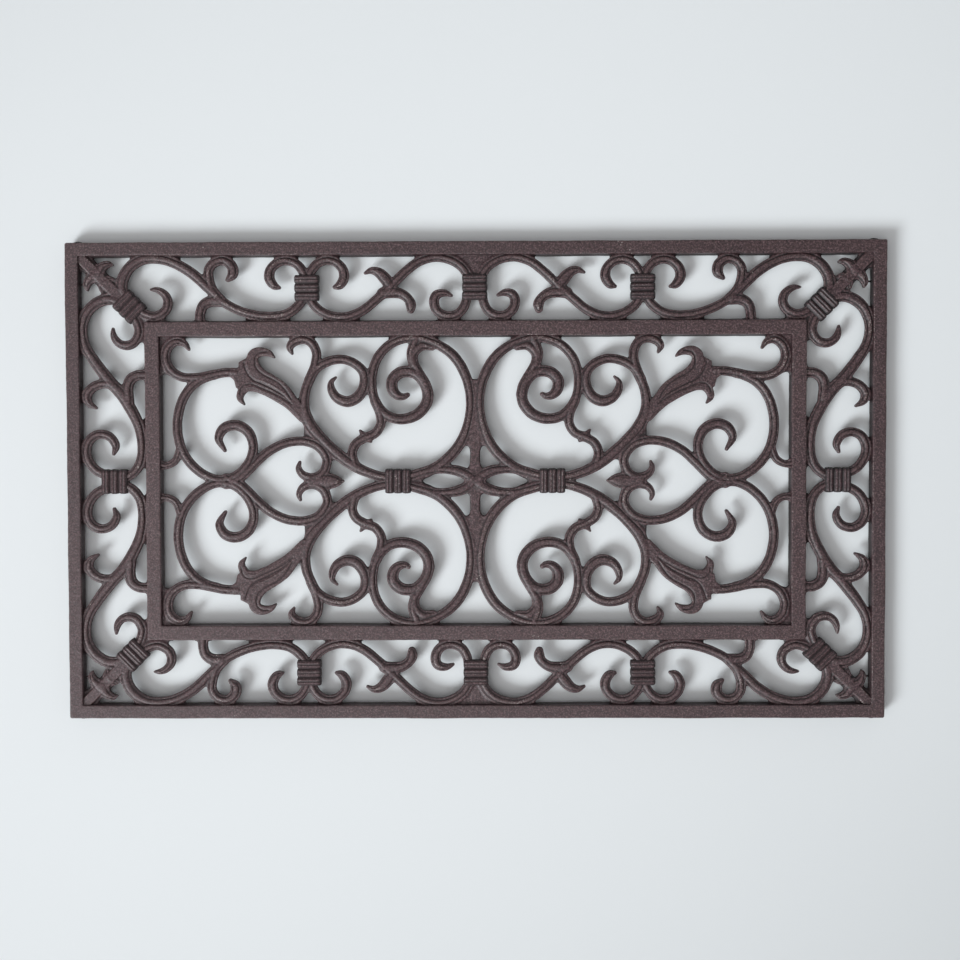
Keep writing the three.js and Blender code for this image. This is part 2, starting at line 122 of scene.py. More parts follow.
# %% Draw the border
BORDER_BARS = {
    "corner_stem": [
        (0.7, 0.7, 1.75), (2, 2, 1.75), (3.2, 3.2, 1.7), (4.1, 4.1, 1.8), (5.1, 5.1, 2.1),
    ],
    "corner_thorn": [
        (2.7, 2.8, 1.5), (3, 2.35, 1.2), (3.3, 2.05, 1), (3.75, 1.87, 0.7), (4.15, 1.93, 0.2),
    ],
    "corner_barb": [(3.4, 3.5, 0.9), (3.85, 3.2, 0.7), (4.35, 3.2, 0.2)],
    "corner_arch": [
        (5.3, 4.8), (4.93, 4, 1.2), (5.07, 3.05, 1.2), (5.73, 2.08, 1.2), (6.77, 1.48, 1.15),
        (8.2, 1.4, 1.1), (9.6, 1.78, 1.1), (11.1, 2.65, 1.15), (12.5, 3.95, 1.1), (14, 5.3),
        (16, 6.2), (18, 6.5), (19.5, 6.25), (20.6, 5.4), (21.1, 4.4),
    ],
    "corner_curl": [
        (6.2, 5.6), (6.9, 6.2), (7.9, 6.42), (8.75, 5.95), (9, 5.3), (8.85, 4.7, 0.9),
        (8.45, 4.3, 0.8), (8, 4.12, 0.6), (7.5, 4.1, 0.25),
    ],
    "hook_on_arch": [
        (13.6, 5), (12.95, 4.2), (12.6, 3.2), (12.6, 2.4), (13.1, 1.75), (13.9, 1.58, 1.05),
        (14.6, 2.05, 1.15), (14.7, 2.75, 1.1), (14.2, 3.3, 0.4),
    ],
    "foot_of_arch": [
        (13.5, 5.1, 1.3), (12.7, 5.15, 1.2), (12.1, 5.5, 1.1), (11.83, 6.15, 1.05),
        (11.8, 7.1, 1.1),
    ],
    "collar_curl": [
        (21.1, 3.4), (20.95, 2.7), (20.4, 1.95), (19.6, 1.6), (18.75, 1.75), (18.08, 2.4, 1.05),
        (17.97, 3.15, 1.1), (18.35, 3.78, 0.9), (18.85, 3.98, 0.35),
    ],
    "middle_sweep": [
        (21.4, 4.4), (21.7, 5.3), (22.4, 6), (23.6, 6.5), (24.9, 6.5), (26.15, 6), (27.4, 5),
        (28.75, 3.75), (30, 2.55), (31.2, 1.7), (32.6, 1.35), (33.9, 1.6), (34.9, 2.25),
        (35.5, 3.2),
    ],
    "upper_leaf": [
        (28.6, 3.9, 1.2), (28.1, 3.2, 1.3), (27.55, 2.68, 1.05), (26.95, 2.52, 0.7),
        (26.35, 2.77, 0.25),
    ],
    "lower_leaf": [
        (27.9, 4.5, 1.2), (28.7, 4.42, 1.25), (29.55, 4.58, 1.1), (30.15, 5.02, 1.05),
        (30.38, 5.5, 1.15), (30.35, 5.93, 0.85),
    ],
    "middle_curl": [
        (35.35, 4.6), (35.2, 5.4), (34.75, 6.15), (34, 6.5), (33.2, 6.4), (32.63, 5.9, 1.05),
        (32.45, 5.2, 1.1), (32.67, 4.65, 1), (33.35, 4.48, 0.75), (34.02, 4.72, 0.3),
    ],
    "side_arch": [
        (4.8, 5.3), (4, 4.93, 1.2), (3.05, 5.07, 1.2), (2.1, 5.75, 1.15), (1.53, 6.8, 1.05),
        (1.42, 8), (1.68, 9.15, 1.05), (2.43, 10.4, 1.15), (3.65, 12, 1.25), (4.75, 13.25, 1.2),
        (5.65, 14.65, 1.2), (6.35, 16.2, 1.1), (6.58, 18), (6.3, 19.5), (5.6, 20.35), (4.6, 20.8),
    ],
    "side_hook": [
        (5.1, 13.4), (4.3, 12.6), (3.3, 12.35), (2.3, 12.65), (1.75, 13.35), (1.9, 14.05, 0.8),
        (2.55, 14.5, 0.3),
    ],
    "foot_of_side_arch": [
        (5.45, 13.9, 1.1), (5.35, 12.9, 1.15), (5.55, 12.1, 1.15), (6.15, 11.65, 1.1),
        (7.1, 11.55, 1.1),
    ],
    "side_curl": [
        (4.1, 20.7), (3.3, 20.4), (2.4, 19.9), (1.8, 19.05), (1.65, 18.1), (2.05, 17.2),
        (2.85, 16.8), (3.75, 17.05, 0.95), (4.25, 17.85, 0.8), (4.05, 18.6, 0.3),
    ],
}
# Bars that return on the other side of the corner's diagonal, or of a collar.
COLLAR_SQUARE = 21.25
for name in ("corner_thorn", "corner_barb", "corner_curl"):
    BORDER_BARS[name + "_turned"] = [(m[1], m[0], *m[2:]) for m in BORDER_BARS[name]]
BORDER_BARS["collar_curl_back"] = [(round(2 * COLLAR_SQUARE - m[0], 2), *m[1:])
                                   for m in BORDER_BARS["collar_curl"]]
print(len(BORDER_BARS), "bars in a quarter of the border")

# %% [markdown]
# ## The bars of the middle panel
#
# The panel is a family of scrolls: a great loop at each end, a great ring on each side of
# the middle, spirals inside them, and a lily where the long stem forks.

# %% Draw the panel
PANEL_BARS = {
    "corner_hook": [
        (13, 11.6), (11.4, 11.85), (10.2, 11.8), (9.2, 11.2), (8.75, 10.2), (8.95, 9.2),
        (9.7, 8.65, 0.95), (10.4, 8.85, 0.7), (10.8, 9.4, 0.3),
    ],
    "great_loop": [
        (14.95, 11.4), (14, 11.4), (12.6, 11.7), (11.2, 12.45), (10.2, 13.8), (9.7, 16),
        (10.1, 18.2), (11.3, 19.85), (13, 20.8), (14.6, 20.65), (15.9, 19.5), (16.4, 18),
        (15.95, 16.65, 1.1), (14.9, 16.05, 1.15), (13.85, 16.3, 1.1), (13.35, 17.2, 0.85),
        (13.9, 18.3, 0.35),
    ],
    "foot_of_loop": [(7.9, 19.5), (8.8, 19.55, 0.8), (9.5, 19.15, 0.8), (9.9, 18.2, 0.8)],
    "return_bar": [
        (14, 21.3), (15.3, 20.65), (16.6, 19.4), (17.8, 18.35), (19.4, 17.6), (21, 17.5),
        (22.2, 18), (22.9, 19.1), (22.6, 20.2), (21.7, 20.7), (20.8, 20.45, 0.85),
        (20.42, 19.85, 0.6), (20.55, 19.3, 0.3),
    ],
    "long_stem": [
        (19.9, 9.75, 0.3), (19.7, 9.2, 0.75), (20.1, 8.7), (20.9, 8.5), (21.65, 8.85),
        (22.05, 9.7), (21.95, 10.7), (21.5, 11.9), (21.03, 13.2, 1.05), (20.95, 14.6, 1.15),
        (21.47, 16.05, 1.3), (22.75, 17.55, 1.15), (24.13, 18.82, 1.25), (25.66, 19.86, 1.15),
        (27.2, 20.48, 1.05), (28.8, 20.8),
    ],
    "small_spiral": [
        (21.4, 12.1), (22, 11.15), (23, 10.5), (24.3, 10.27), (25.4, 10.65), (26.17, 11.45, 1.05),
        (26.23, 12.6, 1.1), (25.63, 13.63, 1.2), (24.7, 14, 1.2), (23.8, 13.63, 1.05),
        (23.35, 12.9, 0.85), (23.35, 12.3, 0.55), (23.75, 11.85, 0.25),
    ],
    "great_ring": [
        (28.8, 20.85), (31, 20.35), (32.87, 19.6, 1.15), (34.57, 17.86, 1.15), (35.4, 15.8),
        (35.6, 13.8), (35.22, 11.85, 1.1), (34.13, 10.02, 1.1), (32.3, 8.8), (30.4, 8.4),
        (28.6, 8.95), (27.4, 10.2), (26.9, 12), (27.2, 13.9), (28.3, 15.25, 1.1),
        (29.7, 15.55, 1.15), (31.05, 15.05, 1.2), (31.83, 13.9, 1.2), (31.63, 12.55, 1.15),
        (30.7, 11.5, 1.2), (29.5, 11.43, 1.25), (28.75, 12.1, 1.25), (28.75, 12.95, 1.2),
        (29.22, 13.48, 0.95), (29.75, 13.57, 0.7), (30.1, 13.4, 0.5),
    ],
    "ring_stem": [
        (32, 13.4, 0.9), (31.8, 12.65, 0.95), (31.25, 11.7), (30.65, 10.6), (30.65, 9.8),
        (31.3, 9.1, 1.1), (32.3, 9.25, 0.7),
    ],
    "ring_stem_root": [(30.6, 10.8), (30.4, 9.8), (30.8, 8.6, 1.1)],
    "crescent_bar": [
        (27.2, 14), (27.65, 15.1), (27.7, 16), (27.2, 16.8), (26.3, 17.2), (25.5, 17.7),
        (25.15, 18.5), (25.4, 19.7),
    ],
    "crescent_barb": [(26.6, 17.2, 0.8), (26.2, 16.95, 0.65), (25.87, 16.55, 0.25)],
    "crescent_nib": [(26.3, 17.1, 0.8), (26.6, 17.3, 0.65), (26.82, 17.55, 0.3)],
    "lens_bar": [
        (30.4, 20.5), (31.9, 20.08, 0.95), (33.5, 19.97), (34.8, 20.22, 1.2), (36, 20.93, 1.2),
        (36.5, 21.2, 1.2),
    ],
    "upper_petal": [
        (20.8, 15), (19.9, 13.8), (19.1, 12.8, 1.1), (18.1, 12.1, 1.15), (17.1, 11.5, 1.2),
        (16.5, 10.7, 1.25), (16.45, 10, 1.2), (16.85, 9.65, 1.1), (17.4, 9.6, 0.9),
        (17.9, 9.75, 0.65), (18.35, 10.1, 0.2),
    ],
    "lower_petal": [
        (20.8, 15.4), (19.6, 14.25), (18.4, 13.5), (17.4, 13), (16.5, 12.7), (15.8, 12.75),
        (15.4, 13.2, 0.85), (15.3, 13.7, 0.65), (15.65, 14.25, 0.2),
    ],
}
# One leaf lies along the middle line of the mat.
MIDDLE_BARS = {
    "arrow_leaf": [
        (21.4, 21, 1.2), (22.3, 21, 1.5), (23, 21, 1.75), (23.6, 21, 1.3), (24.4, 21, 0.15),
    ],
}
print(len(PANEL_BARS) + len(MIDDLE_BARS), "bars in a quarter of the panel")

# %% [markdown]
# ## Webs
#
# Where bars lie close together the founder left a thin web between them, sunk below the
# bars. The bell and cup of the lily stand as high as a bar's rim.

# %% Draw the webs
BORDER_WEBS = {
    "middle_web": [(33.4, 1), (34.3, 1.9), (35, 2.7), (35.3, 3.4), (36.4, 3.4), (36.4, 1)],
    "curl_seat": [
        (6.3, 6), (7.4, 6.5), (8.7, 6.5), (8.8, 7), (7, 7), (7, 8.8), (6.5, 8.7), (6.5, 7.4),
        (6, 6.3),
    ],
}
PANEL_WEBS = {
    "ring_web": [
        (36.4, 12.1), (35.9, 12.1), (35.45, 12.7), (35.7, 13.8), (35.5, 15.8), (34.9, 17.3),
        (34.8, 18), (35.15, 17.85), (35.45, 17.95), (35.65, 18.4), (35.68, 19), (35.55, 19.65),
        (35.3, 19.95), (35.2, 20.5), (36.4, 20.9),
    ],
    "lens_seat": [
        (30, 20.3), (32.6, 20.3), (32, 20.63), (31.6, 20.8), (31.3, 21), (31, 21.3), (30, 21.3),
    ],
    "stem_seat": [
        (22.5, 17.8), (23.2, 18.6), (23.9, 19.1), (23.4, 19.2), (23, 19.1), (22.5, 18.6),
    ],
    "fork_seat": [(21, 15.6), (21.5, 16.9), (22.6, 17.9), (22, 17.8), (21.4, 17.1), (20.9, 16.9)],
    "hook_seat": [
        (8, 8), (10.3, 8), (9.5, 8.8), (8.9, 9.8), (9, 11.1), (9.4, 11.7), (8.6, 11.5), (8, 11.9),
    ],
}
# Flat-topped bars, with the share of their width that stands high.
FLAT_BARS = {"corner_stem": 0.58, "upper_petal": 1.0, "lower_petal": 1.0}
LILY = {
    "bell": [
        (15.2, 11.2), (16.2, 10.4), (17, 11.6), (18.6, 12.3), (19.6, 13.4), (20.6, 14.9),
        (19.2, 14), (17.6, 13.1), (16.2, 12.7), (15.3, 12.9),
    ],
    "cup": [
        (14.6, 11), (15.2, 11), (15.2, 10.5), (15.9, 10.15), (16.3, 11.2), (16, 12.5),
        (15.3, 12.95), (14.95, 12.75), (14.8, 12.1), (14.5, 11.8),
    ],
}
LILY_FOLDS = {
    "upper_fold": [
        (17.7, 9.6), (17.1, 9.65), (16.75, 9.95), (16.65, 10.45), (16.75, 10.95), (17.05, 11.35),
        (17.55, 11.7), (18.2, 12.03), (18.85, 12.45), (19.4, 13.1), (19.85, 13.85),
    ],
    "cup_fold": [
        (15.65, 10.55), (15.82, 11.15), (16.15, 11.75), (16.6, 12.15), (17.4, 12.5),
        (18.25, 12.95), (19.05, 13.4), (19.75, 14.05),
    ],
    "lower_fold": [
        (15.3, 13.3), (15.4, 12.85), (15.75, 12.5), (16.3, 12.42), (17, 12.7), (18, 13.12),
        (19, 13.62), (19.9, 14.25),
    ],
}
LILY_LIPS = {
    "cup_lip": [
        (15.95, 10.45), (16.08, 11.05), (16.37, 11.65), (16.75, 11.98), (17.55, 12.28),
        (18.4, 12.72), (19.15, 13.2), (19.8, 13.85),
    ],
    "lower_lip": [
        (15.9, 12.8), (16.4, 12.72), (17.1, 13), (18, 13.38), (19, 13.9), (19.9, 14.6),
        (20.6, 15.4),
    ],
}
print(len(BORDER_WEBS) + len(PANEL_WEBS), "webs, and a lily of", len(LILY), "flat parts")

# %% [markdown]
# ## A smooth line through the marks
#
# A draughtsman bends a thin lath through the marks and draws along it. The curve that
# does this here is the one in the part's source: a Catmull-Rom line whose knots are
# spaced by the square root of the distance between marks, which never makes a loop.

# %% Bend the lath
def smooth_line(knots, step, samples=40):
    """Points along the centripetal Catmull-Rom line through the knots, a step apart.

    Between knots 1 and 2, with times t0..t3 whose gaps are the square roots of the
    distances, the place is the pyramid of three linear blends of the four knots.
    The first and last knot are mirrored outwards to give the ends a neighbour.
    """
    k = np.vstack([2 * knots[0] - knots[1], knots, 2 * knots[-1] - knots[-2]])
    gap = np.sqrt(np.linalg.norm(np.diff(k, axis=0), axis=1))[:, None, None]
    t0 = np.zeros((len(k) - 3, 1, 1))
    t1 = t0 + gap[:-2]
    t2 = t1 + gap[1:-1]
    t3 = t2 + gap[2:]
    t = t1 + np.linspace(0, 1, samples, endpoint=False)[:, None] * (t2 - t1)

    def blend(p, q, start, end):
        """From p at the start time evenly to q at the end time."""
        return (p * (end - t) + q * (t - start)) / (end - start)

    k0, k1, k2, k3 = (k[i:len(k) - 3 + i, None, :] for i in range(4))
    a1, a2, a3 = blend(k0, k1, t0, t1), blend(k1, k2, t1, t2), blend(k2, k3, t2, t3)
    dense = blend(blend(a1, a2, t0, t2), blend(a2, a3, t1, t3), t1, t2)
    dense = np.vstack([dense.reshape(-1, k.shape[1]), knots[-1:]])
    stride = np.linalg.norm(np.diff(dense[:, :2], axis=0), axis=1)
    run = np.concatenate([[0], np.cumsum(stride)])
    even = np.arange(0, run[-1], step)
    return np.stack([np.interp(even, run, column) for column in dense.T], 1)


lath = smooth_line(marks_in_mm(PANEL_BARS["great_ring"]), 1.0)
print(f"the great ring's line is {len(lath)} mm long")

# %% [markdown]
# ## A quarter of the mat as a relief
#
# The casting is a relief: seen from above, every place has one height. So the whole
# pattern can be two pictures on a fine grid. One says how deep inside the iron a place
# lies, and is zero on the outline. The other says how high the iron stands there.
#
# A bar is the sweep of a disc that slides along its line. The depth inside a bar is then
# the largest value of the disc's radius less the distance from its centre. Where two bars
# meet, a soft maximum joins them, and this rounds the sharp corners between them as
# molten iron and sand do.

# %% Lay out the grid
CELL = 0.35
# Cells that the grid runs past each middle line, for the bars that cross it.
MIDDLE = 30
GRID_X, GRID_Y = ((np.arange(int(size / 2 / CELL) + MIDDLE) - MIDDLE) * CELL
                  for size in (MAT_LENGTH, MAT_WIDTH))
print("relief grid", (len(GRID_X), len(GRID_Y)), "cells of", CELL, "mm")

# How softly shapes join, and a distance that means far outside.
SOFT_PLAN, SOFT_HEIGHT = 0.45, 0.28
FAR = 40.0


def window(places, pad):
    """The part of the grid within pad of these places: a slice along and a slice across."""
    ends = ((places[:, axis].min() - pad, places[:, axis].max() + pad) for axis in (0, 1))
    return tuple(slice(*np.searchsorted(grid, pair)) for grid, pair in zip((GRID_X, GRID_Y), ends))


def joined(values, addition, softness):
    """Soft maximum of two arrays: softness times the log of the summed exponentials."""
    high = np.maximum(values, addition)
    low = np.minimum(values, addition)
    return high + softness * np.log1p(np.exp((low - high) / softness))


# %% Sweep a bar
REACH = 4.0
THIN_TIP = 0.25


def sweep(marks):
    """Depth inside a swept bar, and distance and half width of the nearest disc.

    Depth: the largest of (radius - distance) over the discs along the bar's line.
    All are given on the part of the grid within REACH of the bar.
    """
    line = smooth_line(marks_in_mm(marks), CELL)
    radius = np.maximum(line[:, 2], THIN_TIP)
    pad = radius.max() + REACH
    box = window(line, pad)
    x, y = GRID_X[box[0]], GRID_Y[box[1]]
    depth = np.full((len(x), len(y)), -FAR)
    across, width = np.full(depth.shape, FAR), np.zeros(depth.shape)
    offset = np.arange(-int(pad / CELL) - 1, int(pad / CELL) + 2)
    cx = np.round((line[:, 0] - x[0]) / CELL).astype(int)[:, None, None] + offset[:, None]
    cy = np.round((line[:, 1] - y[0]) / CELL).astype(int)[:, None, None] + offset
    cx, cy = np.broadcast_arrays(cx, cy)
    fits = (cx >= 0) & (cx < len(x)) & (cy >= 0) & (cy < len(y))
    disc = np.nonzero(fits)[0]
    cx, cy = cx[fits], cy[fits]
    gone = np.hypot(x[cx] - line[disc, 0], y[cy] - line[disc, 1])
    inside = radius[disc] - gone
    np.maximum.at(depth, (cx, cy), inside)
    nearest = inside >= depth[cx, cy] - 1e-9
    across[cx[nearest], cy[nearest]] = gone[nearest]
    width[cx[nearest], cy[nearest]] = radius[disc[nearest]]
    return box, depth, across, width


ring_depth = sweep(PANEL_BARS["great_ring"])[1]
print("great ring: grid part", ring_depth.shape, "deepest", round(float(ring_depth.max()), 2), "mm")

# %% [markdown]
# The bead is the low round ridge that runs along the middle of every bar, between two flat
# rims. Its height over the rim is an ellipse across the middle share of the bar, and
# falls with the bar where this narrows to its tip.

# %% Shape the bead
RIM_WIDTH = 1.95
BEAD_RISE, BEAD_SHARE = BEAD_TOP - RIM_TOP, 0.35
# Half width of a bead of the full height, and the least and most of that height.
FULL_BEAD, LOW_BEAD, HIGH_BEAD = 2.0, 0.25, 1.15
CREASE_DEPTH, CREASE_REACH = 0.6, 0.4


def bead(across, width):
    """Height over the rim's level: an ellipse between two narrow creases.

    The bead's half width is the bar's half width less the rim, but at least a share of
    it. The crease is a bell of the distance from the bead's foot.
    """
    half = np.maximum(width - RIM_WIDTH, BEAD_SHARE * width)
    rise = BEAD_RISE * np.clip(half / FULL_BEAD, LOW_BEAD, HIGH_BEAD)
    arch = rise * np.sqrt(np.clip(1 - (across / np.maximum(half, 0.05)) ** 2, 0, 1))
    crease = CREASE_DEPTH * np.exp(-((across - half) / CREASE_REACH) ** 2)
    return arch - crease


print(f"the bead of a usual bar rises {bead(0.0, SCROLL_WIDTH / 2):.2f} mm over its rim")

# %% [markdown]
# ## Flat shapes
#
# A web is an outline with straight sides. Its depth is the distance to the nearest side,
# counted as negative outside, where a ray from the place crosses the outline an even
# number of times.

# %% Measure the depth inside an outline
def inside_outline(outline):
    """Signed distance to a closed outline, positive inside, on the grid part round it."""
    start = marks_in_mm(outline)[:, :2]
    end = np.roll(start, -1, 0)
    box = window(start, REACH)
    x, y = GRID_X[box[0], None, None], GRID_Y[None, box[1], None]
    (x0, y0), (dx, dy) = start.T, (end - start).T
    share = np.clip(((x - x0) * dx + (y - y0) * dy) / (dx ** 2 + dy ** 2), 0, 1)
    gone = np.hypot(x - x0 - share * dx, y - y0 - share * dy)
    spans = (y0 > y) != (end[:, 1] > y)
    hit = x < x0 + (y - y0) / np.where(np.abs(dy) < 1e-9, 1e-9, dy) * dx
    odd = (spans & hit).sum(-1) % 2 == 1
    return box, np.where(odd, 1, -1) * gone.min(-1)


seat_depth = inside_outline(PANEL_WEBS["hook_seat"])[1]
print(f"the web behind the hook is {seat_depth.max():.1f} mm deep inside its outline")


# %% [markdown]
# ## Join everything in one relief
#
# The two frames take part in the plan, so that the bars run into them with a fillet, but
# their own tops are separate pieces that come later. Each of the border and the panel
# gets a relief of its own, because the inner frame lies between them.

# %% Hold one relief
FLAT_TOP = BEAD_TOP - 0.4
SHOULDER_FALL, SHOULDER_SHARE = 2.3, 0.16
BELL_TOP = RIM_TOP + 0.5
RING_WEB_TOP = RIM_TOP - 0.35
GROUND = RIM_TOP - 3.0
OUTER_SLOPE = 0.9


class Relief:
    """Plan depth and top height of a quarter of the scrollwork, in millimetres."""

    def __init__(self):
        self.depth = np.full((len(GRID_X), len(GRID_Y)), -FAR)
        self.height = np.full(self.depth.shape, GROUND)

    def add(self, box, depth, height):
        """Joins one shape softly. Outside its outline its height slopes down."""
        self.depth[box] = joined(self.depth[box], depth, SOFT_PLAN)
        lowered = height - OUTER_SLOPE * np.maximum(-depth, 0)
        self.height[box] = joined(self.height[box], lowered, SOFT_HEIGHT)

    def fold(self):
        """Joins what crosses a middle line with its own mirror image, on both lines."""
        for values, softness in ((self.depth, SOFT_PLAN), (self.height, SOFT_HEIGHT)):
            for side in (values, values.T):
                near = side[:2 * MIDDLE + 1]
                near[:] = joined(near, near[::-1], softness)

    def add_bars(self, bars):
        """Beaded bars, and flat ones whose top falls in a smooth step past their share."""
        for name, marks in bars.items():
            box, depth, across, width = sweep(marks)
            top = RIM_TOP + bead(across, width)
            if name in FLAT_BARS:
                past = across / np.maximum(width, 0.1) - FLAT_BARS[name]
                past = np.clip(past / SHOULDER_SHARE, 0, 1)
                top = FLAT_TOP - SHOULDER_FALL * past ** 2 * (3 - 2 * past)
            self.add(box, depth, top)

    def add_webs(self, webs, level):
        """Flat shapes that all end at this height."""
        for outline in webs.values():
            box, depth = inside_outline(outline)
            self.add(box, depth, level)

    def carve(self, lines, sink, reach):
        """Sinks the top along thin lines, by a bell of the distance from each line."""
        for marks in lines.values():
            box, _, across, _ = sweep(marks)
            self.height[box] -= sink * np.exp(-(across / reach) ** 2)


border, panel = Relief(), Relief()
print("two reliefs of", border.depth.size, "cells each")

# %% Join the bars and webs
border.add_bars(BORDER_BARS)
border.add_webs(BORDER_WEBS, WEB_TOP)
border.fold()
panel.add_bars(PANEL_BARS)
panel.add_webs(PANEL_WEBS, WEB_TOP)
panel.add_webs({"ring_web": PANEL_WEBS["ring_web"]}, RING_WEB_TOP)
panel.add_webs(LILY, BELL_TOP)
panel.carve(LILY_FOLDS, sink=0.9, reach=0.55)
panel.carve(LILY_LIPS, sink=-0.45, reach=0.5)
panel.fold()
# A bar along a middle line is its own mirror image, so it comes after the fold.
panel.add_bars(MIDDLE_BARS)
for name, relief in (("border", border), ("panel", panel)):
    print("share of iron in the grid of the", name, round(float((relief.depth > 0).mean()), 3))

# %% [markdown]
# ## Fillets against the frames
#
# The frames are pieces of their own, but the bars must run into them as iron does. So each
# relief takes the frames into its plan, and keeps a short stretch that is hidden inside
# them.
#
# Green sand cannot hold a thin point, so no opening is narrower than a small disc and every
# corner of an opening is round. To get this, the iron is grown by the disc and then shrunk
# by it: plain edges come back to where they were, and the sharp corners stay filled.

# %% Take the frames into the plan
OPENING_ROUND = 1.2
# How far the bars go on inside a frame, and how far outside them a fillet may begin.
HIDDEN, FILLET_REACH = 2.1, 3.5


def rounded_openings(depth):
    """The depth grown by a disc and shrunk by the same disc, then faintly smoothed."""
    reach = int(OPENING_ROUND / CELL) + 1
    n, m = depth.shape
    steps = [(i, j) for i in range(2 * reach + 1) for j in range(2 * reach + 1)
             if math.hypot(i - reach, j - reach) * CELL <= OPENING_ROUND]
    for pick in (np.maximum, np.minimum):
        padded = np.pad(depth, reach, mode="edge")
        depth = functools.reduce(pick, (padded[i:i + n, j:j + m] for i, j in steps))
    return blurred(depth, 1)


def blurred(values, reach):
    """Mean over a square of cells, one direction after the other, by running sums."""
    for _ in range(2):
        padded = np.pad(values, ((reach + 1, reach), (0, 0)), mode="edge")
        run = np.cumsum(padded, 0)
        values = ((run[2 * reach + 1:] - run[:-2 * reach - 1]) / (2 * reach + 1)).T
    return values


# The frames' bars are a little wider than in the solids, and the inner one is further in.
OUTER_SWELL, INNER_SWELL, INNER_SHIFT = 0.5, 0.6, 0.6
OUTER_INSIDE = OUTER_BAR + OUTER_SWELL
INNER_OUTSIDE = OUTER_BAR + BORDER + INNER_SHIFT
INNER_INSIDE = INNER_OUTSIDE + INNER_BAR + INNER_SWELL
edge = np.minimum(MAT_LENGTH / 2 - np.abs(GRID_X)[:, None], MAT_WIDTH / 2 - np.abs(GRID_Y))

border_kept = ((border.depth > -FILLET_REACH) & (edge > OUTER_INSIDE - HIDDEN)
               & (edge < INNER_OUTSIDE + HIDDEN))
border.depth = joined(border.depth, OUTER_INSIDE + FRAME_LEAN - edge, SOFT_PLAN)
border.depth = joined(border.depth, edge - INNER_OUTSIDE + FRAME_LEAN, SOFT_PLAN)
border.depth = rounded_openings(border.depth)
panel_kept = (panel.depth > -FILLET_REACH) & (edge > INNER_INSIDE - HIDDEN)
panel.depth = joined(panel.depth, INNER_INSIDE + FRAME_LEAN - edge, SOFT_PLAN)
panel.depth = rounded_openings(panel.depth)
print(f"the inner frame runs from {INNER_OUTSIDE:.1f} to {INNER_INSIDE:.1f} mm inside the edge")

# %% [markdown]
# ## Hollows and ridges
#
# Hollows are painted darker, as painted shade with some dirt, and ridges are painted
# paler, partly for wear and partly as a painted highlight. A place is hollow where it lies
# below the average height round it, and a ridge where it stands above it, so both are
# read from the relief less its own blur.

# %% Find hollows and ridges
# Openings count as this high, or every edge would pass for a ridge.
OPENING_LEVEL = RIM_TOP - 1.0
for relief in (border, panel):
    solid = np.where(relief.depth > -0.3, relief.height, OPENING_LEVEL)
    relief.sunk = blurred(blurred(solid, 4), 3) - relief.height
    print(f"ridges {-relief.sunk.min():.2f} mm, hollows {relief.sunk.max():.2f} mm")

# %% [markdown]
# ## Sand and hand
#
# A sand casting is never quite true. Its bars wander by a fraction of a millimetre and its
# tops are faintly lumpy. A few sine waves in scattered directions give the same slow
# unevenness everywhere, so that neighbouring pieces move together.

# %% Make the iron uneven
def wavy(x, y, wavelength, seed):
    """Smooth unevenness between about -1 and 1: twice the mean of seven sine waves.

    The waves run in scattered directions, and their lengths lie round one wavelength.
    """
    chance = np.random.default_rng(seed)
    angle, phase = chance.uniform(0, 2 * np.pi, (2, 7))
    turns = 2 * np.pi / (wavelength * chance.uniform(0.7, 1.4, 7))
    run_x, run_y = turns * np.cos(angle), turns * np.sin(angle)
    return 2 * np.sin(np.outer(x, run_x) + np.outer(y, run_y) + phase).mean(1)


def hand_cast(points):
    """Adds the slow wander in plan, and lumps that fade to nothing at the flat underside."""
    x, y, z = points.T
    lift = np.clip((z - CAST_LOW) / (RIM_TOP - CAST_LOW), 0, 1)
    lumps = 0.08 * wavy(x, y, 45, 5) + 0.06 * wavy(x, y, 8, 6) + 0.03 * wavy(x, y, 3.5, 7)
    moved_x = x + 0.2 * wavy(x, y, 80, 1) + 0.07 * wavy(x, y, 11, 2)
    moved_y = y + 0.2 * wavy(x, y, 80, 3) + 0.07 * wavy(x, y, 11, 4)
    return np.stack([moved_x, moved_y, np.minimum(z + lift * lumps, CAST_HIGH)], 1)


trial = np.array([[0.0, 0.0, RIM_TOP]])
print("iron in the middle of the mat moves by", (hand_cast(trial) - trial)[0].round(2), "mm")


# %% [markdown]
# ## From arrays to a mesh
#
# Every piece of iron goes through one door: its points are made uneven, turned to metres,
# and written to a mesh together with two numbers a point: its painted shade, with some
# dirt, and its wear with a painted glint.

# %% Write a mesh
SHARP_ANGLE = math.radians(62)


def make_mesh(name, points, faces, **looks):
    """A mesh object from points in metres, faces, and one number a point for each look."""
    mesh = bpy.data.meshes.new(name)
    mesh.from_pydata(points.tolist(), [], faces)
    for look, values in looks.items():
        attribute = mesh.attributes.new(look, "FLOAT", "POINT")
        attribute.data.foreach_set("value", values.astype(np.float32))
    mesh.shade_smooth()
    mesh.set_sharp_from_angle(angle=SHARP_ANGLE)
    obj = bpy.data.objects.new(name, mesh)
    bpy.context.scene.collection.objects.link(obj)
    print(f"{name}: {len(points)} points, {sum(len(f) - 2 for f in faces)} triangles")
    return obj


def iron_piece(name, points, faces, hollow, rubbed):
    """A piece of the casting: uneven, in metres, riding on the root body."""
    obj = make_mesh(name, hand_cast(points) * MM, faces,
                    hollow=np.clip(hollow, 0, 1), rubbed=np.clip(rubbed, 0, 1))
    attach(obj, "root")
    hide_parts("scrollwork_casting")
    return obj


print("edges of over", round(math.degrees(SHARP_ANGLE)), "degrees stay sharp")

# %% [markdown]
# ## Scrollwork
#
# The relief becomes a mesh of small squares. Squares outside the iron are left out, and
# the points along the ragged edge slide to the true outline, where the depth is zero. The
# outline then drops as an upright wall, and a flat underside closes the piece.
# Left and right halves are made from one array, turned over.

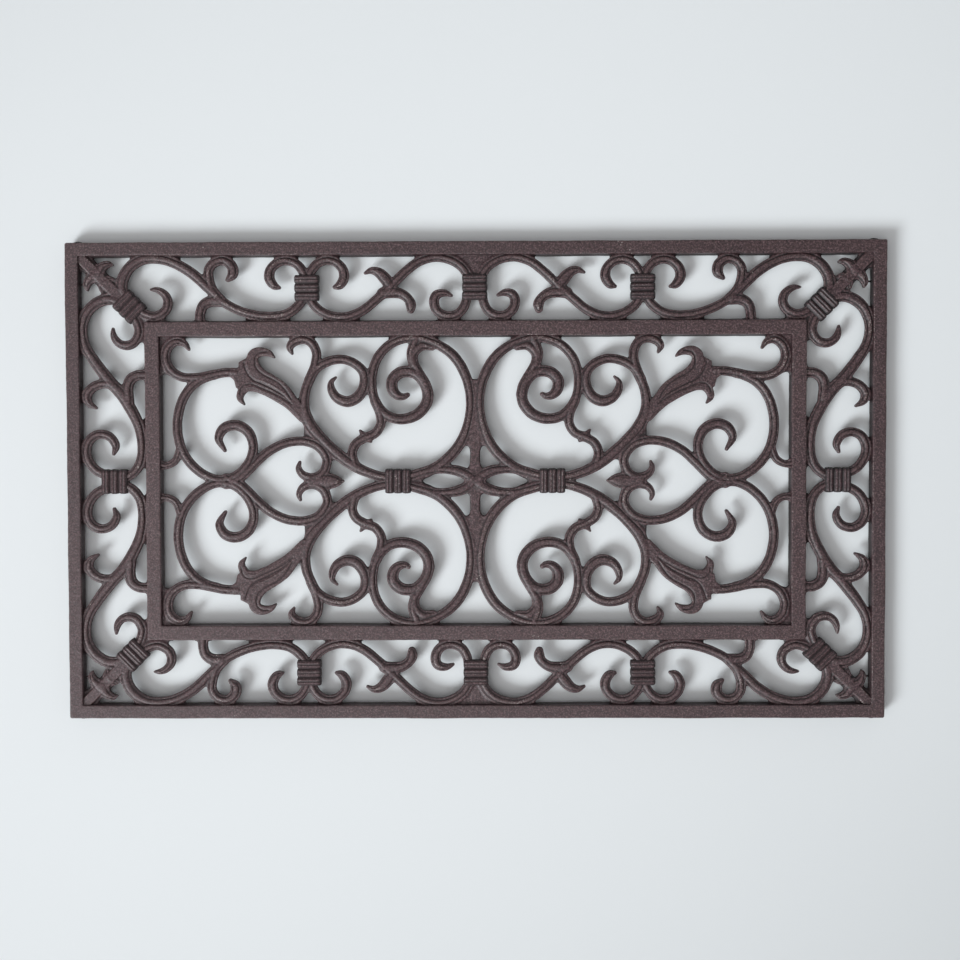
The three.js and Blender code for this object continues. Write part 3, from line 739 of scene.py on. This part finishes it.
# %% Sample a grid between its nodes
def between(values, x, y):
    """Bilinear value at places given in grid cells: the four corners in shares of nearness."""
    x = np.clip(x, 0, values.shape[0] - 1.001)
    y = np.clip(y, 0, values.shape[1] - 1.001)
    i, j = x.astype(int), y.astype(int)
    u, v = x - i, y - j
    near = values[i, j] * (1 - v) + values[i, j + 1] * v
    far = values[i + 1, j] * (1 - v) + values[i + 1, j + 1] * v
    return near * (1 - u) + far * u


def half_mat(values):
    """The half of the mat with x above zero: the quarter and its image across the length."""
    quarter = values[MIDDLE:, MIDDLE:]
    return np.concatenate([quarter[:, :0:-1], quarter], 1)


print("half a relief has", half_mat(panel.depth).shape, "cells")

# %% Slide the ragged edge to the outline
LONGEST_SLIDE, SLIDE_SHARE = 2.2, 0.8


def slide_to_outline(x, y, depth, free, on_seam):
    """Moves the free points down the slope of the depth until it is zero, in four steps.

    A step is a share of Newton's: the depth over the square of its slope, along the slope.
    """
    slope_x, slope_y = np.gradient(depth)
    for _ in range(4):
        d = between(depth, x, y)
        gx, gy = between(slope_x, x, y), between(slope_y, x, y)
        newton = d / np.maximum(gx * gx + gy * gy, 0.02)
        step = np.clip(newton, -LONGEST_SLIDE, LONGEST_SLIDE) * SLIDE_SHARE
        x = np.where(free & ~on_seam, x - step * gx, x)
        y = np.where(free, y - step * gy, y)
    return x, y


print(f"a point slides by at most {4 * LONGEST_SLIDE * SLIDE_SHARE * CELL ** 2:.2f} mm")

# %% Fill the underside
def raised(places, height):
    """Places in plan become points at this height."""
    return np.insert(places, 2, height, 1)


def underside(places, start, end):
    """Triangles that fill the outline from below, and any points that they add.

    Delaunay triangles are drawn through all the outline's sides. A triangle is iron where
    a ray from its middle crosses the outline an odd number of times.
    """
    flat = [Vector(place) for place in places.tolist()]
    sides = np.stack([start, end], 1).tolist()
    co, _, caps, origin, _, _ = delaunay_2d_cdt(flat, sides, [], 0, 1e-6)
    co = np.array([tuple(c) for c in co])
    fresh = np.array([not o for o in origin])
    home = np.array([o[0] if o else 0 for o in origin])
    home[fresh] = len(places) + np.arange(fresh.sum())
    caps = np.array(caps)
    middle = co[caps].mean(1)
    a, b = places[start], places[end]
    slope = (b[:, 0] - a[:, 0]) / np.where(a[:, 1] == b[:, 1], 1e-9, b[:, 1] - a[:, 1])
    iron = []
    # In 40 parts, so that no table of middles by sides grows too large.
    for part in np.array_split(middle, 40):
        y = part[:, 1:2]
        spans = (a[:, 1] > y) != (b[:, 1] > y)
        crossed = spans & (part[:, :1] < a[:, 0] + (y - a[:, 1]) * slope)
        iron.append(crossed.sum(1) % 2 == 1)
    return raised(co[fresh], SCROLL_LOW), home[caps[np.concatenate(iron)]][:, ::-1]


trial = underside(np.array([[0.0, 0.0], [3.0, 0.0], [0.0, 3.0]]), [0, 1, 2], [1, 2, 0])
print("a trial outline of 3 sides is filled by", len(trial[1]), "triangle")

# %% Turn a relief into a closed piece
STRIDE = 2
EDGE_ROUND = 0.7
# Painted shade: the band of the top within this reach of the outline is darkened this much, and
# walls and underside are painted this dark.
SHADED_EDGE_REACH, EDGE_SHADE = 1.3, 0.9
WALL_SHADE = 0.85
FULL_SUNK = 0.5
WALL_SHARES = (0.45, 1.0)


def corners_of(grid):
    """The four corners of every square of a grid, in order round the square."""
    return np.stack([grid[:-1, :-1], grid[1:, :-1], grid[1:, 1:], grid[:-1, 1:]], -1)


def open_sides(quads, count):
    """The sides that no second square shares, as the numbers of their two ends."""
    start, end = quads.ravel(), np.roll(quads, -1, 1).ravel()
    alone = ~np.isin(end * count + start, start * count + end)
    return start[alone], end[alone]


def relief_piece(name, relief, kept, side):
    """One half of a relief as a closed piece: top, wall and underside.

    A square is part of the top if its four corners are kept and lie inside the iron or
    just outside it. The top's height is the relief's, less a quarter circle within
    EDGE_ROUND of the outline. The wall is upright, and the underside is flat.
    """
    depth, height, sunk = (half_mat(v) for v in (relief.depth, relief.height, relief.sunk))
    middle = depth.shape[1] // 2
    first = middle % STRIDE
    iron = depth[::STRIDE, first::STRIDE] > -0.5 * STRIDE * CELL
    good = iron & half_mat(kept)[::STRIDE, first::STRIDE]
    corners = corners_of(np.arange(iron.size).reshape(iron.shape))
    used, quads = np.unique(corners[corners_of(good).all(-1)], return_inverse=True)
    quads = quads.reshape(-1, 4)
    ragged = np.isin(used, corners[~corners_of(iron).all(-1)])
    row, column = np.unravel_index(used, iron.shape)
    x, y = slide_to_outline(row * float(STRIDE), first + column * float(STRIDE), depth,
                            ragged, row == 0)
    deep, hollow = between(depth, x, y), between(sunk, x, y) / FULL_SUNK
    inside = np.clip(deep, 0, EDGE_ROUND)
    fall = EDGE_ROUND - np.sqrt(EDGE_ROUND ** 2 - (EDGE_ROUND - inside) ** 2)
    top = np.stack([x * CELL, (y - middle) * CELL, between(height, x, y) - fall], 1)

    start, end = open_sides(quads, len(used))
    rim, position = np.unique(np.concatenate([start, end]), return_inverse=True)
    start_row, end_row = position.reshape(2, -1)
    points, walls, above = [top], [], (start, end)
    for count, share in enumerate(WALL_SHARES):
        base = len(top) + count * len(rim)
        below = start_row + base, end_row + base
        level = top[rim]
        level[:, 2] += share * (SCROLL_LOW - level[:, 2])
        points.append(level)
        walls.append(np.stack([above[0], below[0], below[1], above[1]], 1))
        above = below
    # The underside hangs from the lowest ring, with any points of its own after it.
    extra, under = underside(top[rim, :2], start_row, end_row)
    points = np.concatenate([*points, extra])

    # Painted shade on the walls and underside, along the top's edge and in its hollows, with some
    # dirt there. Ridges get wear and a painted highlight.
    dark, wear_and_highlight = np.full(len(points), WALL_SHADE), np.zeros(len(points))
    dark[:len(used)] = hollow + EDGE_SHADE * np.clip(1 - deep / SHADED_EDGE_REACH, 0, 1)
    wear_and_highlight[:len(used)] = -hollow
    faces = quads.tolist() + np.concatenate(walls).tolist() + (under + base).tolist()
    if side < 0:
        points[:, 0] *= -1
        faces = [face[::-1] for face in faces]
    print(name, "has", len(start), "sides round its openings")
    return iron_piece(name, points, faces, dark, wear_and_highlight)


iron_pieces = []
for side, hand in ((1, "right"), (-1, "left")):
    iron_pieces.append(relief_piece(f"border_scrolls_{hand}", border, border_kept, side))
    iron_pieces.append(relief_piece(f"panel_scrolls_{hand}", panel, panel_kept, side))

# %% [markdown]
# ## The two frames
#
# A frame is one section carried round a rectangle: upright walls, a flat top and a small
# round along each edge of it. Each point of the section runs round a rectangle of its
# own, whose corners are round by what is left of the corner's radius.

# %% Run round a rectangle
STATION = 1.6
# The signs of x and y in the four quarters of the mat, in turn.
QUARTERS = ((1, 1), (-1, 1), (-1, -1), (1, -1))


def round_places(turn):
    """Places on a circle of radius 1 at these angles: cosine and sine."""
    return np.stack([np.cos(turn), np.sin(turn)], -1)


def round_rectangle(inset, radius):
    """Places round a rectangle set in from the mat's edges, with four round corners.

    Each side runs evenly between two quarter circles, with the same count of places
    whatever the inset, so that rings of different inset join into a grid.
    """
    centre = np.array([MAT_LENGTH / 2 - inset, MAT_WIDTH / 2 - inset]) - radius
    corners = [centre * signs + radius * round_places(np.linspace(count, count + 1, 7) * np.pi / 2)
               for count, signs in enumerate(QUARTERS)]
    ring = []
    for corner, following, length in zip(corners, corners[1:] + corners[:1],
                                         (MAT_LENGTH, MAT_WIDTH) * 2):
        share = np.linspace(0, 1, int(length / STATION) + 2)[1:-1, None]
        ring += [corner, corner[-1] + share * (following[0] - corner[-1])]
    return np.concatenate(ring)


print(len(round_rectangle(0.0, 1.0)), "places round a frame")

# %% Carry a section round it
ARRIS = 0.9
OUTER_CORNER, INNER_CORNER = 1.6, 0.9
# Painted shade on the frames' walls, growing over WALL_FADE below the arris, and wear with a
# painted glint along the arrises.
WALL_FADE, FRAME_WALL_SHADE, FRAME_RUBBED_AND_GLINT = 3.0, 0.75, 0.8


def ring_squares(rings, sides, closed=False):
    """Squares between each ring of points and the next, and back to the first if closed."""
    k, s = np.meshgrid(np.arange(rings if closed else rings - 1), np.arange(sides), indexing="ij")
    here, above, after = k * sides, (k + 1) % rings * sides, (s + 1) % sides
    squares = [here + s, here + after, above + after, above + s]
    return np.stack(squares, -1).reshape(-1, 4).tolist()


def bar_section(outer, inner, outer_lean):
    """The section of a frame bar as rows of inset and height, from outer foot to inner foot.

    Walls lean out evenly to the foot, and the arrises are quarter circles of radius ARRIS.
    """
    share = np.array([0, 0.12, 0.4, 0.7])
    wall = CAST_LOW + (FRAME_TOP - ARRIS - CAST_LOW) * share
    rising = np.stack([outer - outer_lean * (1 - share), wall], 1)
    quarter = round_places(np.linspace(0, np.pi / 2, 6)) * (-ARRIS, ARRIS)
    outer_arris = quarter + (outer + ARRIS, FRAME_TOP - ARRIS)
    flat = np.stack([np.linspace(outer + ARRIS, inner - ARRIS, 9)[1:-1], np.full(7, FRAME_TOP)], 1)
    inner_arris = np.stack([inner + outer - outer_arris[::-1, 0], outer_arris[::-1, 1]], 1)
    falling = np.stack([inner + FRAME_LEAN * (1 - share[::-1]), wall[::-1]], 1)
    middle = [[(outer + inner) / 2, CAST_LOW]]
    return np.concatenate([rising, outer_arris, flat, inner_arris, falling, middle])


def frame_piece(name, outer, inner, outer_lean):
    """A frame: every point of the section carried round its own rounded rectangle."""
    section = bar_section(outer, inner, outer_lean)
    reach = (section[:, 0] - outer) / (inner - outer)
    radius = OUTER_CORNER + (INNER_CORNER - OUTER_CORNER) * reach
    rings = [raised(round_rectangle(inset, round_off), z)
             for (inset, z), round_off in zip(section, radius)]
    points = np.concatenate(rings)
    height = points[:, 2]
    # The arris band gets wear and a painted glint. The walls get painted shade, darker further
    # down.
    arris = np.exp(-((height - (FRAME_TOP - 0.3 * ARRIS)) / (0.35 * ARRIS)) ** 2)
    walls = np.clip((FRAME_TOP - ARRIS - height) / WALL_FADE, 0, 1)
    return iron_piece(name, points, ring_squares(len(rings), len(rings[0]), closed=True),
                      walls * FRAME_WALL_SHADE, arris * FRAME_RUBBED_AND_GLINT)


iron_pieces.append(frame_piece("outer_frame", 0.0, OUTER_INSIDE, 0.0))
iron_pieces.append(frame_piece("inner_frame", INNER_OUTSIDE, INNER_INSIDE, FRAME_LEAN))

# %% [markdown]
# ## Collars
#
# On a wrought iron grille a collar clasps a bundle of scrolls. The founder copied it: a
# block of three ribs across the bundle, each fluted along its top, with ends that round
# down to the scrolls and swell a little at each rib.

# %% Shape one collar
COLLAR_LENGTH, COLLAR_WIDTH, RIBS = 22.5, 22.0, 3
CREST = CAST_HIGH - 0.15
VALLEY, VALLEY_START = 1.7, 0.36
FLUTE, FLUTE_END = 0.6, 0.3
RIB_SWELL = 0.9
END_REACH, END_FALL = 3.2, 3.0


def collar_block():
    """The top of one collar at the origin: its points, their painted shade and their wear with a
    painted glint.

    Height: the crest, less a round valley between ribs, less a flute on each rib, less an
    elliptical fall near the two ends across. Half width across: swells at each rib.
    """
    s = np.linspace(-1, 1, 73)[:, None] * COLLAR_LENGTH / 2
    v = np.sin(np.linspace(-np.pi / 2, np.pi / 2, 41))
    # 0 on the middle of a rib, 1 half way to the next.
    rib = np.abs((s / (COLLAR_LENGTH / RIBS) + 0.5) % 1 - 0.5) * 2
    valley = VALLEY * np.clip((rib - VALLEY_START) / (1 - VALLEY_START), 0, 1) ** 1.15
    flute = FLUTE * np.clip(1 - (rib / FLUTE_END) ** 2, 0, 1)
    half = COLLAR_WIDTH / 2 - RIB_SWELL + RIB_SWELL * np.sqrt(1 - rib ** 2)
    near_end = np.clip((np.abs(v * half) - (half - END_REACH)) / END_REACH, 0, 1)
    fall = END_FALL * (1 - np.sqrt(1 - np.minimum(near_end, 0.999) ** 2))
    # Painted shade: darker in the valleys, in the flutes and towards the ends.
    sunk = valley / 2.1 + flute * 0.9 + 0.75 * near_end ** 2
    # Wear and a painted glint along two lines on each rib.
    ridge = np.exp(-((rib - 0.33) / 0.07) ** 2) * (1 - near_end)
    points = np.broadcast_arrays(s, v * half, CREST - valley - flute - fall)
    return np.stack(points, -1), sunk, ridge


print("one collar has", collar_block()[1].shape, "points on top")

# %% Set the collars
# Where they stand on the squared paper, and how far their bundle is turned, in degrees.
COLLARS = [((5.6, 5.6), 45), ((21.25, 4.02), 90), ((36, 4), 90), ((4.15, 21), 0), ((29.2, 21), 0)]
# The collars' upright sides get painted shade.
SKIRT_SHADE = 0.75


def collar_places():
    """The middle of every collar and the turn of its bundle, each place once."""
    places = {}
    for squares, degrees in COLLARS:
        x, y = marks_in_mm([squares])[0, :2]
        for sx, sy in QUARTERS:
            place = (round(float(x), 3) * sx + 0.0, round(float(y), 3) * sy + 0.0)
            places[place] = math.radians(degrees) * sx * sy
    return places


def collars_piece():
    """All collars: one block turned to each bundle, with a skirt down to the underside."""
    block, sunk, ridge = collar_block()
    ids = np.arange(sunk.size).reshape(sunk.shape)
    top = corners_of(ids).reshape(-1, 4)
    loop = np.concatenate([ids[:-1, 0], ids[-1, :-1], ids[:0:-1, -1], ids[0, :0:-1]])
    ring = np.arange(len(loop)) + ids.size
    skirt = np.stack([loop, ring, np.roll(ring, -1), np.roll(loop, -1)], 1)
    block = block.reshape(-1, 3)
    block = np.concatenate([block, raised(block[loop, :2], SCROLL_LOW)])
    block_faces = top.tolist() + skirt.tolist() + [ring[::-1].tolist()]
    hollow = np.append(sunk, np.full(len(loop), SKIRT_SHADE))
    rubbed = np.append(ridge, np.zeros(len(loop)))
    places = collar_places()
    points, faces = [], []
    for count, ((x, y), turned) in enumerate(places.items()):
        c, t = math.cos(turned), math.sin(turned)
        points.append(block @ np.array([[c, t, 0], [-t, c, 0], [0, 0, 1]]) + [x, y, 0])
        faces += [[k + count * len(block) for k in face] for face in block_faces]
    print(len(places), "collars")
    return iron_piece("ribbed_collars", np.concatenate(points), faces,
                      np.tile(hollow, len(places)), np.tile(rubbed, len(places)))


iron_pieces.append(collars_piece())

# %% [markdown]
# ## Corner pads
#
# The scrolls are open below the frames' depth, so each corner has a round pad of iron that
# takes the plug of a foot. It is as deep as the frames and ends inside the corner's stem.

# %% Set the pads
# The pad, hidden under the scrolls, gets painted shade all over.
PAD_RADIUS, PAD_SHADE = 7.5, 0.7
FOOT_MIDDLES = {node: np.array(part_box(node)[0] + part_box(node)[1])[:2] / 2 / MM
                for node in sorted(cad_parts) if node.startswith("foot_")}


def full_turn(sides):
    """Places on a circle of radius 1, in so many even steps."""
    return round_places(np.arange(sides) * 2 * np.pi / sides)


def pad_piece(node, sides=48):
    """A pad: a closed drum from the frames' underside to inside the scrollwork."""
    around = full_turn(sides) * PAD_RADIUS + FOOT_MIDDLES[node]
    points = np.concatenate([raised(around, CAST_LOW), raised(around, SCROLL_LOW + 1)])
    caps = [list(range(sides))[::-1], list(range(sides, 2 * sides))]
    hollow = np.full(len(points), PAD_SHADE)
    return iron_piece("pad_of_" + node, points, ring_squares(2, sides) + caps, hollow, 0 * hollow)


iron_pieces += [pad_piece(node) for node in FOOT_MIDDLES]

# %% [markdown]
# ## Rubber feet
#
# A foot is turned like a button: a flat sole, a bevel, a plain side, a soft shoulder that
# the iron rests over, and the plug that goes up into the blind hole. It is a surface of
# revolution, so one profile is enough.

# %% Turn the feet
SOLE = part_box("foot_back_right")
FOOT_RADIUS = (SOLE[1].x - SOLE[0].x) / 2 / MM
PROFILE_RADIUS = 10
FOOT_PROFILE = np.array([
    (0, 0), (2.4, 0), (2.7, 0.25), (3.3, 0.25), (3.6, 0), (5.4, 0), (5.7, 0.25), (6.3, 0.25),
    (6.6, 0), (8.4, 0), (8.9, 0.12), (9.7, 0.8), (9.93, 1.2), (10, 1.7), (10, 4.2), (9.9, 4.6),
    (9.7, 4.85), (9.3, 5), (3.9, 5), (3.5, 5.1), (3.25, 5.4), (3.2, 9.3), (3, 9.75), (2.6, 10),
    (0, 10),
])


def foot_piece(node, sides=72):
    """A foot: every point of the profile carried round the foot's axis, poles closed."""
    centre = FOOT_MIDDLES[node]
    turned = FOOT_PROFILE[1:-1]
    rings = [raised(centre + radius * FOOT_RADIUS / PROFILE_RADIUS * full_turn(sides), z)
             for radius, z in turned]
    points = np.concatenate([*rings, [[*centre, 0.0], [*centre, FOOT_PROFILE[-1, 1]]]])
    spoke, last = np.arange(sides), (len(turned) - 1) * sides
    after = np.roll(spoke, -1)
    bottom = np.stack([np.full(sides, len(points) - 2), after, spoke], 1)
    top = np.stack([np.full(sides, len(points) - 1), last + spoke, last + after], 1)
    faces = ring_squares(len(turned), sides) + bottom.tolist() + top.tolist()
    obj = make_mesh("rubber_" + node, points * MM, faces)
    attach(obj, "root")
    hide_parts(node)
    return obj


feet = [foot_piece(node) for node in FOOT_MIDDLES]

# %% [markdown]
# ## Shader sums in plain Python
#
# A pattern in a finish is a sum over numbers that change from place to place. The small
# class below stands for such a number, and each sign between two of them adds one Math
# node, so that a formula reads as it would on paper.

# %% A number that changes over the surface
def sign(operation, turned=False):
    """A method that adds one Math node, with its two numbers in turned order if asked."""
    def method(self, other):
        first, second = (other, self) if turned else (self, other)
        return self.finish.node("ShaderNodeMath", {"operation": operation}, {0: first, 1: second})
    return method


class Level:
    """One socket of a node tree, with the signs + - * in both orders."""

    def __init__(self, finish, socket):
        self.finish, self.socket = finish, socket

    __add__, __radd__ = sign("ADD"), sign("ADD", turned=True)
    __sub__, __rsub__ = sign("SUBTRACT"), sign("SUBTRACT", turned=True)
    __mul__, __rmul__ = sign("MULTIPLY"), sign("MULTIPLY", turned=True)
    at_least, at_most = sign("MAXIMUM"), sign("MINIMUM")

    def clamped(self):
        """The same number, kept from 0 to 1."""
        return self.at_least(0.0).at_most(1.0)

    def step(self, low, high):
        """0 below low, 1 above high, and a smooth rise between them."""
        return self.finish.node("ShaderNodeMapRange", {"interpolation_type": "SMOOTHSTEP"},
                                {"Value": self, "From Min": low, "From Max": high})


print("a level can be", [name for name in vars(Level) if not name.startswith("_")])

# %% [markdown]
# A finish is one material: a Principled shader and the nodes that feed it. One method adds
# them all, and sets a value or draws a link for each socket.

# %% A finish with one way to add a node
class Finish:
    """A material with one Principled shader, and a single way to add any other node."""

    def __init__(self, name, **fixed):
        self.material = bpy.data.materials.new(name)
        self.material.use_nodes = True
        self.tree = self.material.node_tree
        self.shader = self.tree.nodes["Principled BSDF"]
        for socket, value in fixed.items():
            self.shader.inputs[socket.replace("_", " ").title()].default_value = value

    def node(self, kind, settings=None, inputs=None, output=0):
        """Adds a node: its settings first, then a value or a link for each named socket."""
        made = self.tree.nodes.new(kind)
        for key, value in (settings or {}).items():
            setattr(made, key, value)
        for key, value in (inputs or {}).items():
            if isinstance(value, Level):
                self.tree.links.new(value.socket, made.inputs[key])
            else:
                made.inputs[key].default_value = value
        return Level(self, made.outputs[output])

    def feed(self, socket, level):
        """Lets a level drive one socket of the shader."""
        self.tree.links.new(level.socket, self.shader.inputs[socket])

    def place(self):
        """The place on the object, in metres from the frame's origin."""
        return self.node("ShaderNodeTexCoord", output="Object")

    def along_and_across(self):
        """The place on the mat in metres: along its length, and across it."""
        apart = self.node("ShaderNodeSeparateXYZ", {}, {0: self.place()})
        return (Level(self, apart.socket.node.outputs[axis]) for axis in "XY")

    def noise(self, per_metre, detail, rough=0.5):
        """Cloudy noise from 0 to 1, with this many lumps to a metre."""
        return self.node("ShaderNodeTexNoise", {}, {"Vector": self.place(), "Scale": per_metre,
                                                    "Detail": detail, "Roughness": rough})

    def look(self, name):
        """The number that the mesh carries at each point under this name."""
        return self.node("ShaderNodeAttribute", {"attribute_name": name}, output="Fac")

    def mix(self, share, first, second):
        """The first colour where share is 0, and the second where it is 1.

        A Mix node keeps its colours in sockets 6 and 7 and gives theirs in output 2.
        """
        return self.node("ShaderNodeMix", {"data_type": "RGBA"},
                         {0: share, 6: first, 7: second}, output=2)

    def bump(self, height, depth, strength, under=None):
        """A bump of this depth in metres over the height, on top of another one."""
        inputs = {"Height": height, "Distance": depth, "Strength": strength}
        if under:
            inputs["Normal"] = under
        return self.node("ShaderNodeBump", {}, inputs)


print("a finish knows", [name for name in vars(Finish) if not name.startswith("_")])

# %% [markdown]
# Colours are chosen as they are seen, from 0 to 255, and a shader wants linear light.

# %% Make seen colours linear
def colour(red, green, blue):
    """A colour as it is seen, 0 to 255, made linear as the shader wants it."""
    seen = np.array([red, green, blue]) / 255
    linear = np.where(seen <= 0.04045, seen / 12.92, ((seen + 0.055) / 1.055) ** 2.4)
    return (*linear.tolist(), 1.0)


print(f"a grey seen as 128 of 255 is {colour(128, 128, 128)[0]:.3f} in linear light")

# %% [markdown]
# ## Painted iron
#
# The iron wears a matt brown paint with a little plum in it. The sand's grain shows
# through as a fine stipple. Hollows, walls and the edges of the tops get painted shade,
# with some dirt in the hollows. Ridges are painted a paler brown, partly for wear and partly
# as a painted highlight, and carry small painted glints, and a few specks are chipped to a
# light primer. The iron is painted lighter towards the front left, as painted window light,
# and the outer frame is a shade darker than the rest.

# %% Mix the iron's paint
iron = Finish("painted_iron_finish", roughness=0.5, metallic=0.0)
clouds = iron.noise(22, 3)
patches = iron.noise(70, 4, 0.6)
stipple = iron.noise(640, 4, 0.75)
plum = iron.noise(420, 2)
lumps = iron.noise(380, 2)
hollow, rubbed = iron.look("hollow"), iron.look("rubbed")

tone = (clouds * 0.5 + patches * 0.5).step(0.34, 0.66)
# Paler on ridges: partly wear, partly a painted highlight.
wear_and_highlight = rubbed.step(0.15, 0.9) * lumps.step(0.3, 0.7)
along, across = iron.along_and_across()
# Squares of the metres from the two middle lines make both sides of the mat alike.
outer = (along * along).step(0.1185, 0.1205) + (across * across).step(0.0378, 0.039)
# Painted window light: the iron is painted lighter towards the front left.
dust_and_window_light = (0.5 - along * 1.1 - across * 0.9).clamped()
speck = iron.node("ShaderNodeTexVoronoi", {"feature": "F1"},
                  {"Vector": iron.place(), "Scale": 330.0})
chipped = (1 - speck.step(0.1, 0.22)) * iron.noise(38, 2).step(0.67, 0.74)
# Painted glints: near-white flecks on the rubbed ridges.
painted_glint = (rubbed.step(0.35, 0.8) * iron.noise(800, 1).step(0.56, 0.66)
           * iron.noise(24, 2).step(0.48, 0.6))

paint = iron.mix(tone, colour(53, 33, 35), colour(64, 43, 43))
# What lies over the paint: how much it covers, and its colour as seen.
coats = [
    (plum.step(0.42, 0.62) * 0.4, (67, 45, 54)),
    (stipple.step(0.5, 0.62) * 0.85, (110, 86, 89)),
    ((1 - stipple.step(0.38, 0.5)) * 0.92, (27, 16, 19)),
    # Painted shade in hollows, on walls and along edges, with some dirt in the hollows.
    (hollow.step(0.05, 0.75) * 0.88, (22, 17, 18)),
    # Ridges painted paler: wear and a painted highlight.
    (wear_and_highlight * 0.4, (112, 91, 88)),
    (outer.clamped() * 0.13, (24, 14, 17)),
    # Painted window light, lighter towards the front left.
    (dust_and_window_light * 0.12, (150, 126, 128)),
    (chipped * 0.8, (186, 176, 170)),
    # Painted glints on the ridges.
    (painted_glint * 0.7, (176, 166, 162)),
]
for share, seen in coats:
    paint = iron.mix(share, paint, colour(*seen))
iron.feed("Base Color", paint)
rough = 0.43 + (patches - 0.5) * 0.25 - wear_and_highlight * 0.12 + hollow.step(0.1, 0.9) * 0.2
iron.feed("Roughness", rough)
relief_bump = iron.bump(lumps, 0.0004, 0.6)
iron.feed("Normal", iron.bump(stipple, 0.0004, 0.9, relief_bump))
for piece in iron_pieces:
    piece.data.materials.append(iron.material)
print(len(iron_pieces), "pieces of painted iron")

# %% [markdown]
# ## Rubber
#
# Moulded rubber is nearly black, dull, and a little grey where dust sits on it.

# %% Mix the rubber
rubber = Finish("black_rubber_finish", roughness=0.85, metallic=0.0)
dust = rubber.noise(260, 4, 0.6)
grain = rubber.noise(2600, 2)
# Grey dust on the rubber, in random patches.
dust_and_window_light = dust.step(0.42, 0.75) * 0.6
rubber.feed("Base Color", rubber.mix(dust_and_window_light, colour(27, 26, 26), colour(62, 60, 58)))
rubber.feed("Roughness", 0.74 + dust * 0.2)
rubber.feed("Normal", rubber.bump(grain, 0.0001, 0.5))
for foot in feet:
    foot.data.materials.append(rubber.material)
print(len(feet), "rubber feet")

# %% [markdown]
# ## Floor
#
# A light cool grey floor, large enough for every view, with the faintest clouding. A pool
# of window light is painted on it: it is lighter towards the window, at the left, and
# greyer at the far and near edges. Far out it turns up into a low wall, as a studio's cove
# does, so that a low camera sees no horizon.

# %% Lay the floor
def floor_piece(flat=5.0, cove=1.5, wall=2.4, sides=96):
    """A dish: flat to this radius, a quarter round of the cove's radius, then an upright wall."""
    lift = round_places(np.linspace(0, np.pi / 2, 13))
    radius = [1.0, *(flat + cove * lift[:, 1]), flat + cove]
    height = [0.0, *(cove - cove * lift[:, 0]), wall]
    rings = [raised(r * full_turn(sides), z) for r, z in zip(radius, height)]
    squares = [square[::-1] for square in ring_squares(len(rings), sides)]
    return make_mesh("floor", np.concatenate(rings), squares + [list(range(sides))])


floor = floor_piece()
ground = Finish("floor_finish", roughness=0.9, metallic=0.0)
along, across = ground.along_and_across()
# Painted window light: a shallow dome whose top lies 34 cm to the left of the mat's middle.
painted_window_light = 0.9 - along * 0.52 + along * across * 0.73 - along * along * 0.87
painted_window_light = (painted_window_light - across * across * 1.22).clamped() + (ground.noise(1.5, 2) - 0.5) * 0.06
ground.feed("Base Color", ground.mix(painted_window_light, colour(205, 206, 207), colour(236, 237, 238)))
floor.data.materials.append(ground.material)

# %% [markdown]
# ## Camera
#
# The photograph looks straight down on the mat from about 1.35 m. The place and the tilt
# were found by asking where the four corners of the mat must fall in the frame.

# %% Place the camera
camera_data = bpy.data.cameras.new("camera")
camera = bpy.data.objects.new("camera", camera_data)
bpy.context.scene.collection.objects.link(camera)
camera.location = (0.0216, 0.0477, 1.35)
camera.rotation_euler = [math.radians(a) for a in (-2.0159, 0.7364, -0.1774)]
camera_data.sensor_width = 36.0
camera_data.lens = 57.03
bpy.context.scene.camera = camera
print(f"camera {camera.location.z:.2f} m above the floor, lens {camera_data.lens:.1f} mm")

# %% [markdown]
# ## Light
#
# The light comes low from the front left, through something large and soft, so the
# shadows fall up and to the right and are blurred. It is a little cool. The ceiling by the
# window gives back a broad light from higher up, which reaches down into the openings, and
# the walls a fainter one from all round.

# %% Hang the lights
def soft_sun(name, azimuth, elevation, spread, strength, tint):
    """A sun of this spread. All angles are in degrees, and azimuth is 0 in front, 90 right."""
    data = bpy.data.lights.new(name, "SUN")
    data.angle, data.energy, data.color = math.radians(spread), strength, tint
    lamp = bpy.data.objects.new(name, data)
    bpy.context.scene.collection.objects.link(lamp)
    lamp.rotation_euler = (math.radians(90 - elevation), 0, math.radians(azimuth))
    print(f"{name}: {elevation} degrees high, {spread} degrees wide, strength {strength}")


soft_sun("window", -47, 33, 22, 2.9, (0.9, 0.97, 1.0))
soft_sun("ceiling", -47, 67, 60, 0.95, (0.985, 0.995, 1.0))

sky = bpy.data.worlds.new("sky")
bpy.context.scene.world = sky
sky.use_nodes = True
background = sky.node_tree.nodes["Background"]
background.inputs["Color"].default_value = colour(246, 245, 246)
background.inputs["Strength"].default_value = 0.235
bpy.context.scene.view_settings.view_transform = "Standard"

# %% [markdown]
